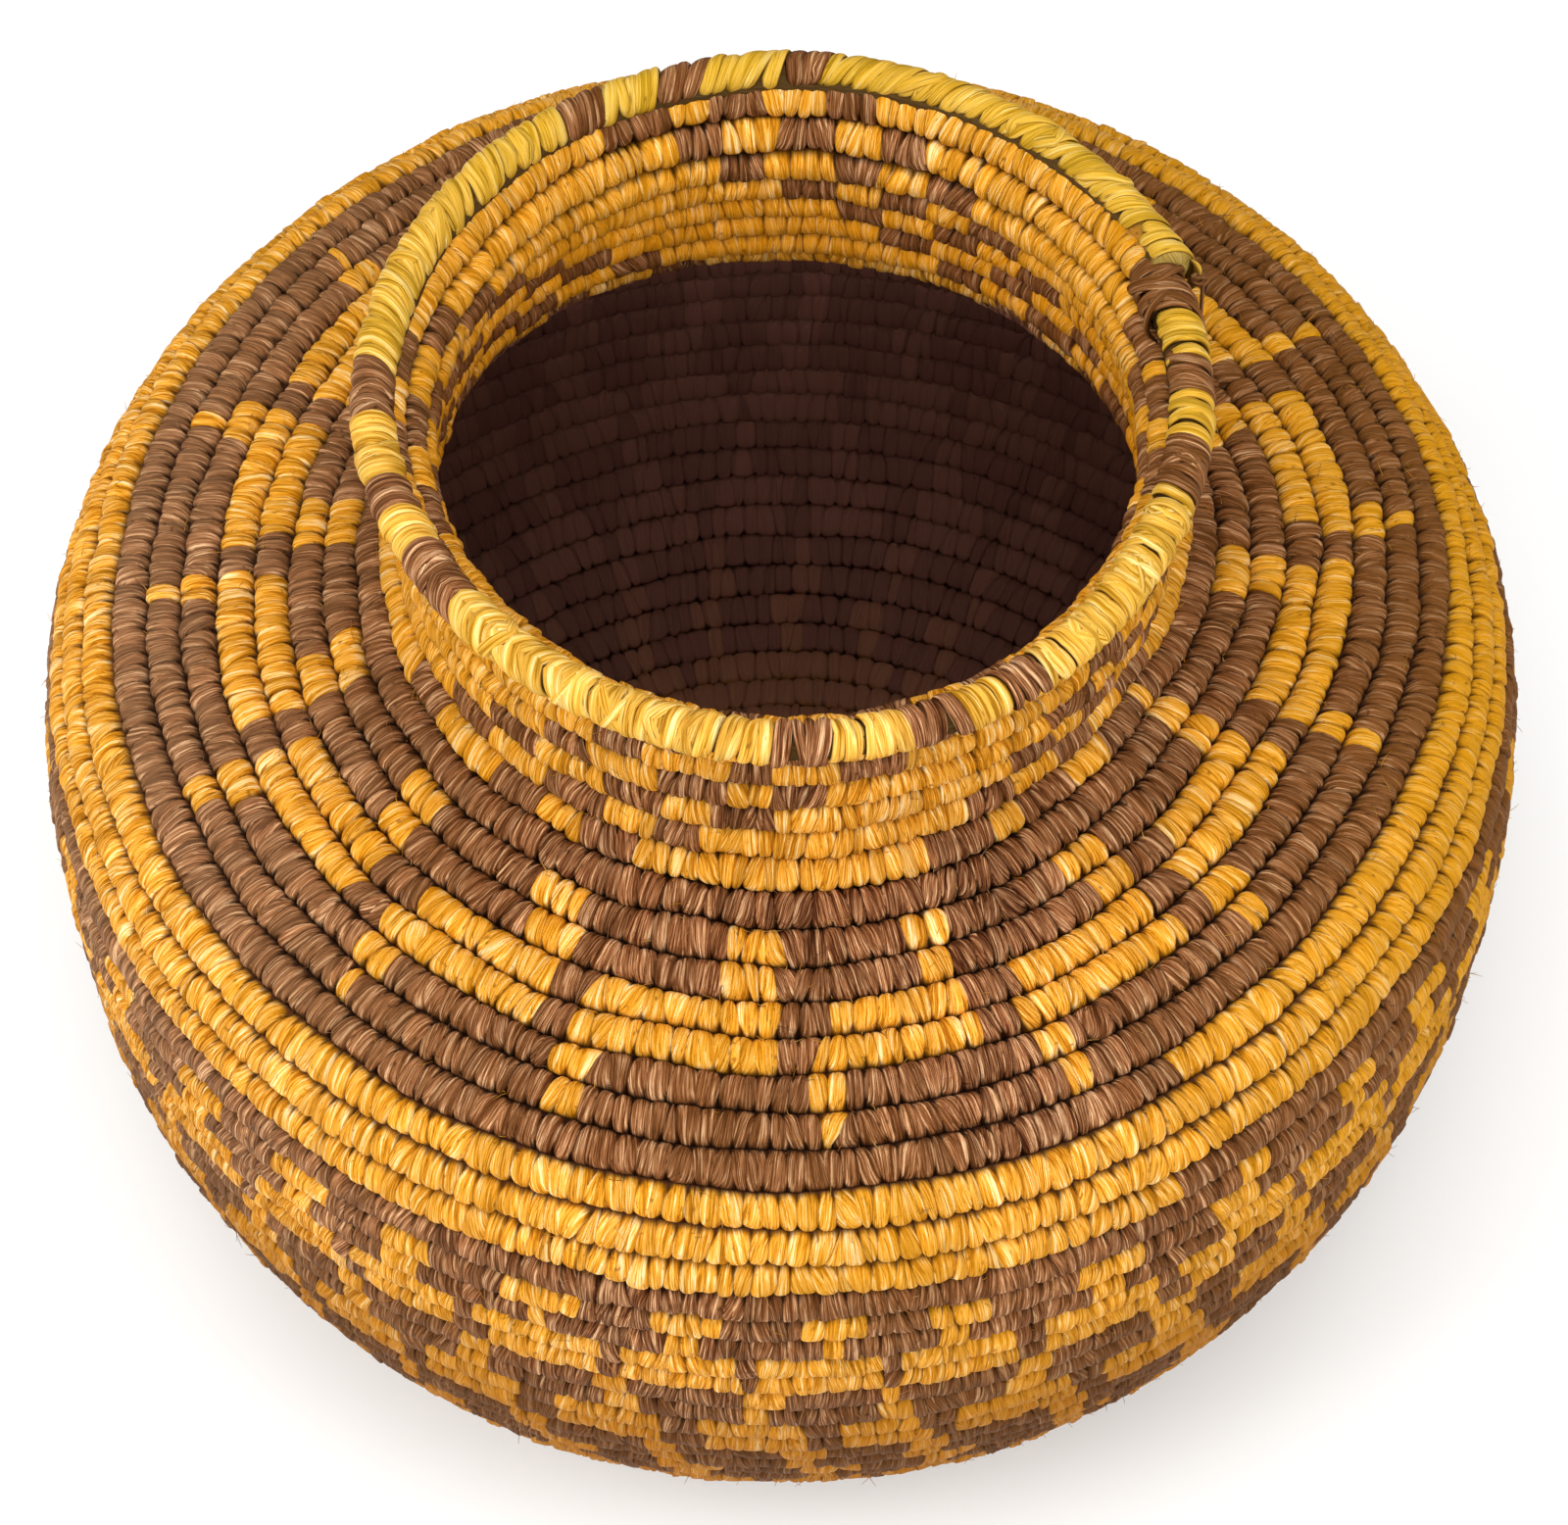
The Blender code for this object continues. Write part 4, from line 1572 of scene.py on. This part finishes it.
@dataclass
class Rim:
    """The rim: a bundle of stems, overcast with single strands, with a dark whipping over its joint."""

    coil: Coil
    loom: Loom
    section: float = 5.4 * MM
    worn: float = 0.85 * MM
    cover: float = 1.15 * MM
    overlap: float = 1.12
    seat: float = 1.3 * MM
    # Where the strands are dyed, in degrees round the jar, and how they lie from place to place
    dark_spans: tuple[tuple[float, float], ...] = (
        (-93.0, -82.5), (-73.5, -67.5), (-59.5, -50.5), (0.0, 6.0), (17.5, 24.0), (29.5, 35.5), (70.5, 80.0),
        (87.5, 94.0), (172.3, 179.0), (191.0, 198.0), (205.5, 214.0),
    )
    lays: tuple[Lay, ...] = (
        Lay(-96.0, 0.6, 1.4, 3.4, 0.5),
        Lay(-83.0, 0.2, 0.9, 4.0, 0.3),
        Lay(-62.0, 0.0, 0.9, 3.8, 0.3),
        Lay(-57.0, -1.2, 1.2, 3.2, 0.8),
        Lay(-50.0, -1.8, 2.0, 3.4, 0.6),
        Lay(-32.0, -1.6, 1.9, 3.4, 0.6),
        Lay(-20.0, -0.4, 1.3, 3.2, 0.5),
        Lay(-8.0, 0.4, 0.9, 3.0, 0.3),
        Lay(6.0, 0.2, 0.2, 3.0, 0.2),
        Lay(17.0, -0.4, -0.6, 3.0, 0.25),
        Lay(30.0, -0.7, -0.8, 3.0, 0.35),
        Lay(45.0, -0.8, 0.6, 3.0, 0.7),
        Lay(60.0, -0.6, 1.0, 2.9, 0.9),
        Lay(75.0, 0.3, 0.7, 2.8, 0.9),
        Lay(100.0, 0.6, 0.9, 3.0, 0.6),
        Lay(109.5, 0.6, 0.8, 2.6, 0.2, 178.0, 0.6),
        Lay(116.0, 1.4, 1.6, 3.0, 0.2, 175.0, 0.5),
        Lay(124.0, 1.8, 2.0, 3.1, 0.25, 176.0, 0.45),
        Lay(145.0, 2.0, 2.4, 3.2, 0.25, 176.0, 0.45),
        Lay(170.0, 2.2, 2.6, 3.2, 0.25, 176.0, 0.6),
        Lay(173.0, 0.5, 0.6, 2.8, 0.4, 178.0),
        Lay(179.0, 0.5, 0.6, 2.8, 0.4, 180.0),
        Lay(182.0, 2.0, 2.6, 3.4, 0.15, 184.0),
        Lay(190.0, 1.8, 2.2, 3.4, 0.15, 190.0),
        Lay(204.0, 1.0, 1.2, 3.2, 0.2, 198.0),
        Lay(214.0, 0.4, 0.6, 3.2, 0.3, 200.0),
        Lay(222.0, 1.0, 1.3, 3.6, 0.3, 202.0),
        Lay(235.0, 1.7, 2.0, 3.6, 0.35, 205.0, 0.8),
        Lay(255.0, 1.7, 2.1, 3.5, 0.4, 205.0, 0.8),
        Lay(264.0, 0.6, 1.4, 3.4, 0.5),
    )
    # Where the cover, the whipping and the bundle start and end, and the gap where a strand is missing
    first_azimuth: float = -96.0
    first_gap: float = 2.6
    whipped: Span = (102.5, 109.5)
    bundle_start: float = 109.5
    bundle_end: float = 109.4
    hole: float = 117.0
    hole_half: float = 1.4
    carried: float = 0.15 * MM
    stems: Stems = Stems()
    draws: Draws = Draws()

    def __post_init__(self) -> None:
        """Finds the ring that the last course carries."""
        outline = self.coil.outline
        radius, height, heading = outline.at(outline.zone_lengths[-1])
        lift = self.section + self.carried
        self.ring = Ring(float(radius + lift * math.cos(heading)), float(height + lift * math.sin(heading)))
        self.wrap = StrandWrap(self.ring, self.section - self.worn - self.cover)

    def bundle(self) -> bpy.types.Object:
        """The stems inside the rim, which show only where a strand is missing.

        Returns:
            The bundle as an object.
        """
        stems = self.stems
        sides, rings = stems.sides, stems.rings
        turns = np.linspace(0.0, 1.0, rings)
        around = np.arange(sides) * math.tau / sides
        wave = Wander(Seed.STEMS, *stems.ridge_rates)
        ridges = np.stack([wave(turns * stems.ridge_length + step) for step in range(sides)], axis=1)
        body = self.wrap.body - stems.inset
        body = body + stems.ridge * ridges
        body = body + stems.swell * smooth((turns - stems.swell_start) / stems.swell_run)[:, None]
        taper = np.clip((turns - stems.taper_start) / stems.taper_run, 0.0, 1.0)
        body = body * (1.0 - stems.taper * taper**2)[:, None]
        azimuth = self.bundle_start + 360.0 - turns * (360.0 + self.bundle_start - self.bundle_end)
        world = np.radians(azimuth - 90.0)[:, None]
        body = body + stems.seated * self.seat * self.wrap.foot(around)[None, :]
        first = self.ring.drifts[0][0]
        middle, level = self.ring.centre(first, azimuth[:, None] - first)
        rho = middle + body * np.cos(around)
        points = np.stack([rho * np.cos(world), rho * np.sin(world), level + body * np.sin(around)], axis=-1)
        # Painted shade on the bundle, less and then warm near the gap, none at its cut end
        gap_light = stems.gap_light_most - stems.gap_light_most * np.abs(azimuth - self.hole) / stems.gap_light_reach
        gap_light = np.clip(gap_light, 0.0, 1.0)
        painted_shading = np.where(azimuth < stems.unshaded_before, 0.0, stems.shade_share - stems.gap_light_share * gap_light)
        skin = Skin(
            points=points,
            along=np.repeat((turns * math.tau * self.ring.radius)[:, None], sides + 1, axis=1),
            across=np.repeat((np.arange(sides + 1) * stems.stem * MM)[None, :], rings, axis=0),
            rise=np.full((rings, sides), stems.rise),
            tone=np.full(rings - 1, stems.tone),
            dyed=np.zeros(rings - 1, bool),
            strips=stems.strips,
            painted_shading=np.repeat(painted_shading[:, None], sides, axis=1),
        )
        return self.loom.piece("rim_stems", [skin], plain=Strand.FOUNDATION)

    def overcast(self) -> bpy.types.Object:
        """The strands sewn over the rim, one by one.

        Returns:
            The cover as an object.
        """
        draws = self.draws
        draw = np.random.default_rng(Seed.OVERCAST)
        uneven = np.random.default_rng(Seed.SEAM)
        skins = []
        place = self.whipped[1] + self.first_gap
        while place < self.whipped[0] + 360.0:
            azimuth = (place - self.first_azimuth) % 360.0 + self.first_azimuth
            lay = self.lay_at(azimuth)
            dark = any(a <= azimuth < b for a, b in self.dark_spans)
            width = lay.width * draw.uniform(*draws.width) * MM
            low = (lay.low + draw.normal(0, draws.lean)) * MM
            high = (lay.high + draw.normal(0, draws.lean)) * MM
            missing = abs(azimuth - self.hole) < self.hole_half
            skins.append(self.wrap.skin(
                azimuth=azimuth,
                width=width * self.overlap,
                lean=(low, high),
                span=(draws.start, draws.broken if missing else lay.seam + uneven.uniform(*draws.seam)),
                lift=draw.uniform(*draws.lift) * MM,
                crown=draw.uniform(*draws.crown) * lay.crown * MM,
                tone=float(draw.random()),
                dyed=dark,
                tilt=draw.uniform(*draws.tilt) * lay.crown * MM,
                reach=self.seat,
            ))
            edges = [edge for span in self.dark_spans for edge in span]
            clear = all(abs(azimuth - edge) >= draws.clear_of_dye for edge in edges)
            clear = clear and abs(azimuth - self.hole) > draws.clear_of_hole
            if draw.random() < lay.crossed and clear:
                skins.append(self.crossed(draw, azimuth, lay, (low, high), dark))
            place += math.degrees(width / self.ring.radius)
        skins.append(self.short_strand())
        return self.loom.piece("rim_strands", skins, columns=3)

    def short_strand(self) -> Skin:
        """The short gold strand that comes out from under the whipping.

        Returns:
            Its skin.
        """
        return self.wrap.skin(
            azimuth=110.6, width=3.0 * MM, lean=(1.5 * MM, 0.0), span=(-70.0, 34.0), lift=0.5 * MM,
            crown=0.9 * MM, tone=0.8, dyed=False, reach=self.seat,
        )

    def crossed(self, draw: np.random.Generator, azimuth: float, lay: Lay, lean: Span, dark: bool) -> Skin:
        """A strand that is drawn over another and leans across it.

        Args:
            draw: What its random draws come from.
            azimuth: Degrees round the jar of the strand below.
            lay: How the strands lie there.
            lean: How far the strand below runs along the rim per radian, below and above the crest.
            dark: Whether it is dyed.

        Returns:
            The strand's skin.
        """
        draws = self.draws
        cross = draw.normal(0, draws.crossed_lean) * MM
        return self.wrap.skin(
            azimuth=azimuth + draw.uniform(-draws.crossed_place, draws.crossed_place),
            width=draw.uniform(*draws.crossed_width) * MM,
            lean=(lean[0] + cross, lean[1] - cross),
            span=(draws.crossed_start, lay.seam - draws.crossed_short),
            lift=draw.uniform(*draws.crossed_lift) * MM,
            crown=draws.crossed_crown * MM,
            tone=float(draw.random()),
            dyed=dark,
            reach=self.seat,
            crest=draw.uniform(*draws.crossed_crest),
        )

    def lay_at(self, azimuth: float) -> Lay:
        """How the strands lie at any azimuth.

        Args:
            azimuth: Degrees round the jar.

        Returns:
            The lay there.
        """
        places = [lay.place for lay in self.lays]
        values = [[lay.low, lay.high, lay.width, lay.crossed, lay.seam, lay.crown] for lay in self.lays]
        return Lay(azimuth, *(float(np.interp(azimuth, places, column)) for column in zip(*values)))

    def whipping(self) -> bpy.types.Object:
        """The dark whipping over the rim's joint, with its knot.

        Returns:
            The whipping as an object.
        """
        skins = Whipping(self.whipped).skins(self.ring, self.wrap.body) + Knot().skins()
        return self.loom.piece("whipping_turns", skins)


@dataclass
class Thread:
    """Thin strands along a chain of points: the tail of the whipping and the frayed fibres."""

    sides: int
    side_width: float = 0.5
    twist: float = 3.0
    rise: float = 0.85
    slanted: tuple[float, float, float] = (0.31, 0.52, 0.79)

    def skin(self, path: np.ndarray, radii: np.ndarray, tone: float, dyed: bool, ridge: float = 0.0) -> Skin:
        """A tube along a path.

        Args:
            path: Its points.
            radii: Its radius at each.
            tone: Its own shade.
            dyed: Whether it is dyed.
            ridge: How much every second side stands out, as a share.

        Returns:
            The thread's skin.
        """
        tangent = np.gradient(path, axis=0)
        tangent /= np.linalg.norm(tangent, axis=1)[:, None]
        aside = np.cross(tangent, np.array(self.slanted))
        aside /= np.linalg.norm(aside, axis=1)[:, None]
        other = np.cross(tangent, aside)
        angles = np.arange(self.sides) * math.tau / self.sides
        twist = np.linspace(0.0, self.twist, len(path)) * (ridge > 0)
        angles = angles[None, :] + twist[:, None]
        reach = radii[:, None] * (1.0 + ridge * (np.arange(self.sides) % 2)[None, :])
        points = (path[:, None, :] + (reach * np.cos(angles))[..., None] * aside[:, None, :]
                  + (reach * np.sin(angles))[..., None] * other[:, None, :])
        length = np.concatenate([[0.0], np.cumsum(np.linalg.norm(np.diff(path, axis=0), axis=1))])
        count = len(path)
        return Skin(
            points=points,
            across=np.repeat((np.arange(self.sides + 1) * self.side_width * MM)[None, :], count, axis=0),
            along=np.repeat(length[:, None], self.sides + 1, axis=1),
            rise=np.full((count, self.sides), self.rise),
            tone=np.full(count - 1, tone),
            dyed=np.full(count - 1, dyed),
        )


@dataclass
class Whipping:
    """Turns of dark strand drawn tight across each other. Ranges of lengths are in millimetres."""

    places: Span
    pitch: float = 0.85
    before: float = 0.3
    after: float = 0.2
    inward: float = 1.4 * MM
    down: float = 0.3 * MM
    lift: float = 1.35 * MM
    lean: float = 0.6
    lean_spread: float = 0.9
    widths: Span = (1.5, 2.3)
    span: Span = (-88.0, 262.0)
    lifts: Span = (0.1, 0.6)
    crown: float = 0.75 * MM
    tilts: Span = (-0.2, 0.3)
    dark: float = 0.5
    across: tuple[tuple[float, float, float], ...] = (
        (104.0, 3.2, -2.6), (106.5, -2.8, 3.0), (105.0, 1.2, 3.8)
    )
    across_width: float = 1.7 * MM
    across_span: Span = (-50.0, 225.0)
    across_lift: float = 0.9 * MM
    across_crown: float = 0.7 * MM
    across_crest: float = 100.0

    def skins(self, ring: Ring, body: float) -> list[Skin]:
        """The turns, and the strands that cross them.

        Args:
            ring: The line that the rim follows.
            body: How thick the rim's body is there, from its middle.

        Returns:
            One skin for each turn of the strand.
        """
        draw = np.random.default_rng(Seed.WHIPPING)
        wrap = StrandWrap(Ring(ring.radius - self.inward, ring.height - self.down), body + self.lift)
        first, last = self.places
        skins = []
        for place in np.arange(first - self.before, last + self.after, self.pitch):
            lean = draw.normal(self.lean, self.lean_spread) * MM
            skins.append(wrap.skin(
                azimuth=float(place),
                width=draw.uniform(*self.widths) * MM,
                lean=(lean, lean),
                span=self.span,
                lift=draw.uniform(*self.lifts) * MM,
                crown=self.crown,
                tone=self.dark * float(draw.random()),
                dyed=True,
                tilt=draw.uniform(*self.tilts) * MM,
            ))
        for place, low, high in self.across:
            skins.append(wrap.skin(
                azimuth=place,
                width=self.across_width,
                lean=(low * MM, high * MM),
                span=self.across_span,
                lift=self.across_lift,
                crown=self.across_crown,
                tone=self.dark * float(draw.random()),
                dyed=True,
                crest=self.across_crest,
            ))
        return skins


@dataclass
class Knot:
    """The small knot on the whipping's outer side, that its loose end hangs from."""

    loops: tuple[tuple[float, float], ...] = ((0.0, 1.35), (0.9, 1.2), (2.1, 1.25))
    points: int = 14
    width: float = 0.5 * MM
    inset: float = 0.8 * MM
    drop: float = 2.6 * MM
    ridge: float = 0.15
    tone: float = 0.05
    tone_step: float = 0.1

    def skins(self) -> list[Skin]:
        """Its loops, each turned on from the one before.

        Returns:
            One skin for each loop.
        """
        low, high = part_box("whipping_tail")
        out = np.array([(low.x + high.x) / 2, (low.y + high.y) / 2, 0.0])
        middle = out * (1.0 - self.inset / np.linalg.norm(out)) + np.array([0.0, 0.0, high.z - self.drop])
        out /= np.linalg.norm(out)
        side = np.array([-out[1], out[0], 0.0])
        loop = np.linspace(0.0, math.tau, self.points)
        skins = []
        for turn, size in self.loops:
            across = side * math.cos(turn) + np.array([0.0, 0.0, math.sin(turn)])
            path = middle + (np.outer(np.cos(loop), across) + np.outer(np.sin(loop), out)) * size * MM
            radii = np.full(self.points, self.width)
            tone = self.tone + self.tone_step * turn
            skins.append(Thread(sides=8).skin(path, radii, tone, True, self.ridge))
        return skins


@dataclass
class Fraying:
    """Loose ends: the tail of the whipping, and fibres that stand out of the grooves."""

    coil: Coil
    pattern: Pattern
    loom: Loom
    tail_width: float = 0.9 * MM
    tail_tone: float = 0.1
    tail_top: float = 2.0 * MM
    tail_out: float = 0.4 * MM
    tail_short: float = 3.0 * MM
    tail_sway: Span = (0.7 * MM, 1.6 * MM)
    tail_bends: float = 4.0
    tail_points: int = 24
    # Where the fibres stand, on which turns and how far off the crown of the coil
    fibres: int = 7400
    between: Span = (14.0, 52.6)
    off_crown: Span = (0.5, 1.2)
    sunk: float = 0.95
    # Which way they point and curl, how long they are, and how thick at the root and the tip
    outward: Span = (0.15, 0.7)
    upward: float = 0.6
    onward: float = 0.8
    curl: float = 0.5
    curled: float = 0.6
    lengths: Span = (1.0, 3.8)
    floor_gap: float = 0.2 * MM
    widths: Span = (0.11, 0.04)
    pale_share: float = 0.35

    def tail(self) -> bpy.types.Object:
        """The whipping's short loose end, which hangs from its knot.

        Returns:
            The tail as an object.
        """
        low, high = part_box("whipping_tail")
        centre = (low + high) / 2
        out = np.array([centre.x, centre.y, 0.0])
        out /= np.linalg.norm(out)
        side = np.array([-out[1], out[0], 0.0])
        depth = np.linspace(0.0, 1.0, self.tail_points)
        top = np.array([centre.x, centre.y, high.z - self.tail_top]) + out * self.tail_out
        drop = np.array([0.0, 0.0, low.z - high.z + self.tail_short])
        aside, outward = self.tail_sway
        sway = np.outer(np.sin(depth * self.tail_bends), side) * aside
        bow = sway + np.outer(depth * (1.0 - depth), out) * outward
        path = top + np.outer(depth, drop) + bow
        radii = np.full(len(path), self.tail_width / 2)
        return self.loom.piece("whipping_end", [Thread(sides=8).skin(path, radii, self.tail_tone, True)])

    def loose_fibres(self) -> bpy.types.Object:
        """Short fibres that stand out of the grooves between courses and stitches.

        Returns:
            All of them as one object.
        """
        draw = np.random.default_rng(Seed.FIBRES)
        thread = Thread(sides=3)
        skins = []
        turns = draw.uniform(*self.between, self.fibres)
        dyed = self.pattern.dyed(turns)
        angles = self.coil.angle(turns)
        share = np.linspace(0.0, 1.0, 5)
        e_z = np.array([0.0, 0.0, 1.0])
        places = zip(angles, dyed, *self.coil.section(turns))
        for angle, dark, radius, height, heading, half, bulge in places:
            e_r = np.array([math.cos(angle), math.sin(angle), 0.0])
            e_t = np.array([-e_r[1], e_r[0], 0.0])
            normal = math.sin(heading) * e_r - math.cos(heading) * e_z
            upward = math.cos(heading) * e_r + math.sin(heading) * e_z
            spot = draw.choice([-1.0, 1.0]) * draw.uniform(*self.off_crown)
            root = (radius * e_r + height * e_z + normal * bulge * math.cos(spot) * self.sunk
                    + upward * half * math.sin(spot) * self.sunk)
            aim = (normal * draw.uniform(*self.outward) + upward * draw.normal(0, self.upward)
                   + e_t * draw.normal(0, self.onward))
            aim /= np.linalg.norm(aim)
            curl = e_t * draw.normal(0, self.curl) + upward * draw.normal(0, self.curl)
            length = draw.uniform(*self.lengths) * MM
            path = root + np.outer(share, aim) * length + np.outer(share**2, curl) * length * self.curled
            path[:, 2] = np.maximum(path[:, 2], self.floor_gap)
            radii = np.interp(share, [0, 1], self.widths) * MM
            pale = draw.random() < self.pale_share
            skins.append(thread.skin(path, radii, float(draw.random()), bool(dark) and not pale))
        return self.loom.piece("loose_fibres", skins, columns=12)


@dataclass(frozen=True)
class Softbox:
    """One square light, turned to the jar."""

    name: str
    place: tuple[float, float, float]
    size: float
    power: float
    target: tuple[float, float, float] = (0.0, 0.0, 0.12)

    def hang(self) -> None:
        """Puts the light into the scene."""
        data = bpy.data.lights.new(self.name, "AREA")
        data.size = self.size
        data.energy = self.power
        light = bpy.data.objects.new(self.name, data)
        light.location = self.place
        aim = Vector(self.target) - Vector(self.place)
        light.rotation_euler = aim.to_track_quat("-Z", "Y").to_euler()
        bpy.context.scene.collection.objects.link(light)


@dataclass
class Studio:
    """The camera at the photograph's angle, a pale floor and soft light."""

    elevation: float = 57.43
    distance: float = 1.057
    aim_height: float = 0.1085
    aim_right: float = 0.68 * MM
    lens: float = 105.1
    sensor: float = 36.0
    sight: float = 50.0
    floor_radius: float = 6.0
    floor_colour: Colour = (0.88, 0.88, 0.87)
    floor_roughness: float = 0.9
    floor_specular: float = 0.1
    sky: float = 0.45
    softboxes: tuple[Softbox, ...] = (
        Softbox("top_box", (0.0, -0.10, 1.55), 1.2, 13.2),
        Softbox("left_box", (-1.25, -0.45, 0.95), 1.0, 13.5),
        Softbox("right_box", (1.25, -0.45, 0.95), 1.0, 8.0),
        Softbox("front_box", (0.0, -1.25, 1.15), 1.0, 12.0),
    )

    def camera(self) -> None:
        """Sets the camera."""
        data = bpy.data.cameras.new("camera")
        data.lens = self.lens
        data.sensor_width = self.sensor
        data.clip_end = self.sight
        camera = bpy.data.objects.new("camera", data)
        tilt = math.radians(self.elevation)
        out, up = self.distance * math.cos(tilt), self.distance * math.sin(tilt)
        camera.location = (self.aim_right, -out, self.aim_height + up)
        camera.rotation_euler = (math.radians(90.0) - tilt, 0.0, 0.0)
        bpy.context.scene.collection.objects.link(camera)
        bpy.context.scene.camera = camera

    def floor(self) -> None:
        """Lays the floor."""
        bpy.ops.mesh.primitive_circle_add(vertices=96, radius=self.floor_radius, fill_type="NGON")
        floor = bpy.context.object
        floor.name = "floor"
        material = bpy.data.materials.new("pale_floor")
        material.use_nodes = True
        shader = material.node_tree.nodes["Principled BSDF"]
        shader.inputs["Base Color"].default_value = (*self.floor_colour, 1.0)
        shader.inputs["Roughness"].default_value = self.floor_roughness
        shader.inputs["Specular IOR Level"].default_value = self.floor_specular
        floor.data.materials.append(material)

    def lights(self) -> None:
        """Hangs the soft lights."""
        for softbox in self.softboxes:
            softbox.hang()
        world = bpy.data.worlds.new("world")
        world.use_nodes = True
        sky = world.node_tree.nodes["Background"]
        sky.inputs["Color"].default_value = (1.0, 1.0, 1.0, 1.0)
        sky.inputs["Strength"].default_value = self.sky
        bpy.context.scene.world = world
        settings = bpy.context.scene.view_settings
        settings.view_transform = "Standard"
        settings.look = "None"


@dataclass
class Olla:
    """The whole basket: its courses from the start knot up, its rim and its loose ends."""

    coil: Coil
    pattern: Pattern
    loom: Loom
    rim_loom: Loom
    curl: float = 0.9
    zones: tuple[tuple[str, int, int], ...] = (
        ("base", 0, 11), ("wall", 11, 24), ("shoulder", 35, 11), ("neck", 46, 8)
    )

    def build(self) -> None:
        """Builds every piece and puts it in its node's place."""
        slots = self.node_slots()
        maker = CourseMaker(self.coil, self.pattern, self.loom)
        for zone, start, count in self.zones:
            for number in range(count):
                turn = start + number
                name = f"{zone}_course_{number + 1:02d}" if turn else "start_knot"
                last = min(turn + 1, self.coil.end)
                course = maker.make(f"{name}_sewn", turn or -self.curl, last, Seed.COURSES + turn)
                self.place(course, name, slots)
        rim = Rim(self.coil, self.rim_loom)
        self.place(rim.bundle(), "rim_bundle", slots)
        self.place(rim.overcast(), "rim_overcast", slots)
        self.place(rim.whipping(), "rim_whipping", slots)
        fraying = Fraying(self.coil, self.pattern, self.loom)
        self.place(fraying.tail(), "whipping_tail", slots)
        fibres = fraying.loose_fibres()
        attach(fibres, "root")
        self.report(fibres)

    @staticmethod
    def node_slots() -> dict[str, str]:
        """The record's material slot of each node."""
        return {part["node"]: part["material_slot"] for part in frame["record"]["subparts"]}

    @staticmethod
    def place(piece: bpy.types.Object, node: str, slots: dict[str, str]) -> None:
        """Puts a piece in its node's place.

        Args:
            piece: The finished piece.
            node: The node that it stands for.
            slots: The slot of each node, not used here.
        """
        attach(piece, "root")
        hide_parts(node)
        Olla.report(piece)

    @staticmethod
    def report(piece: bpy.types.Object) -> None:
        """Logs a piece and how many points it has."""
        LOG.info("%s: %d vertices", piece.name, len(piece.data.vertices))


def main() -> None:
    """Builds the studio and the olla."""
    logging.basicConfig(level=logging.INFO, format="%(message)s")
    studio = Studio()
    studio.camera()
    studio.floor()
    studio.lights()
    finishes = {finish.strand: finish.material() for finish in FINISHES}
    rim_finishes = {**finishes, Strand.NATURAL: RIM_GOLD.material()}
    olla = Olla(Coil(Outline()), Pattern(), Loom(finishes), Loom(rim_finishes))
    olla.build()


if __name__ == "__main__":
    main()
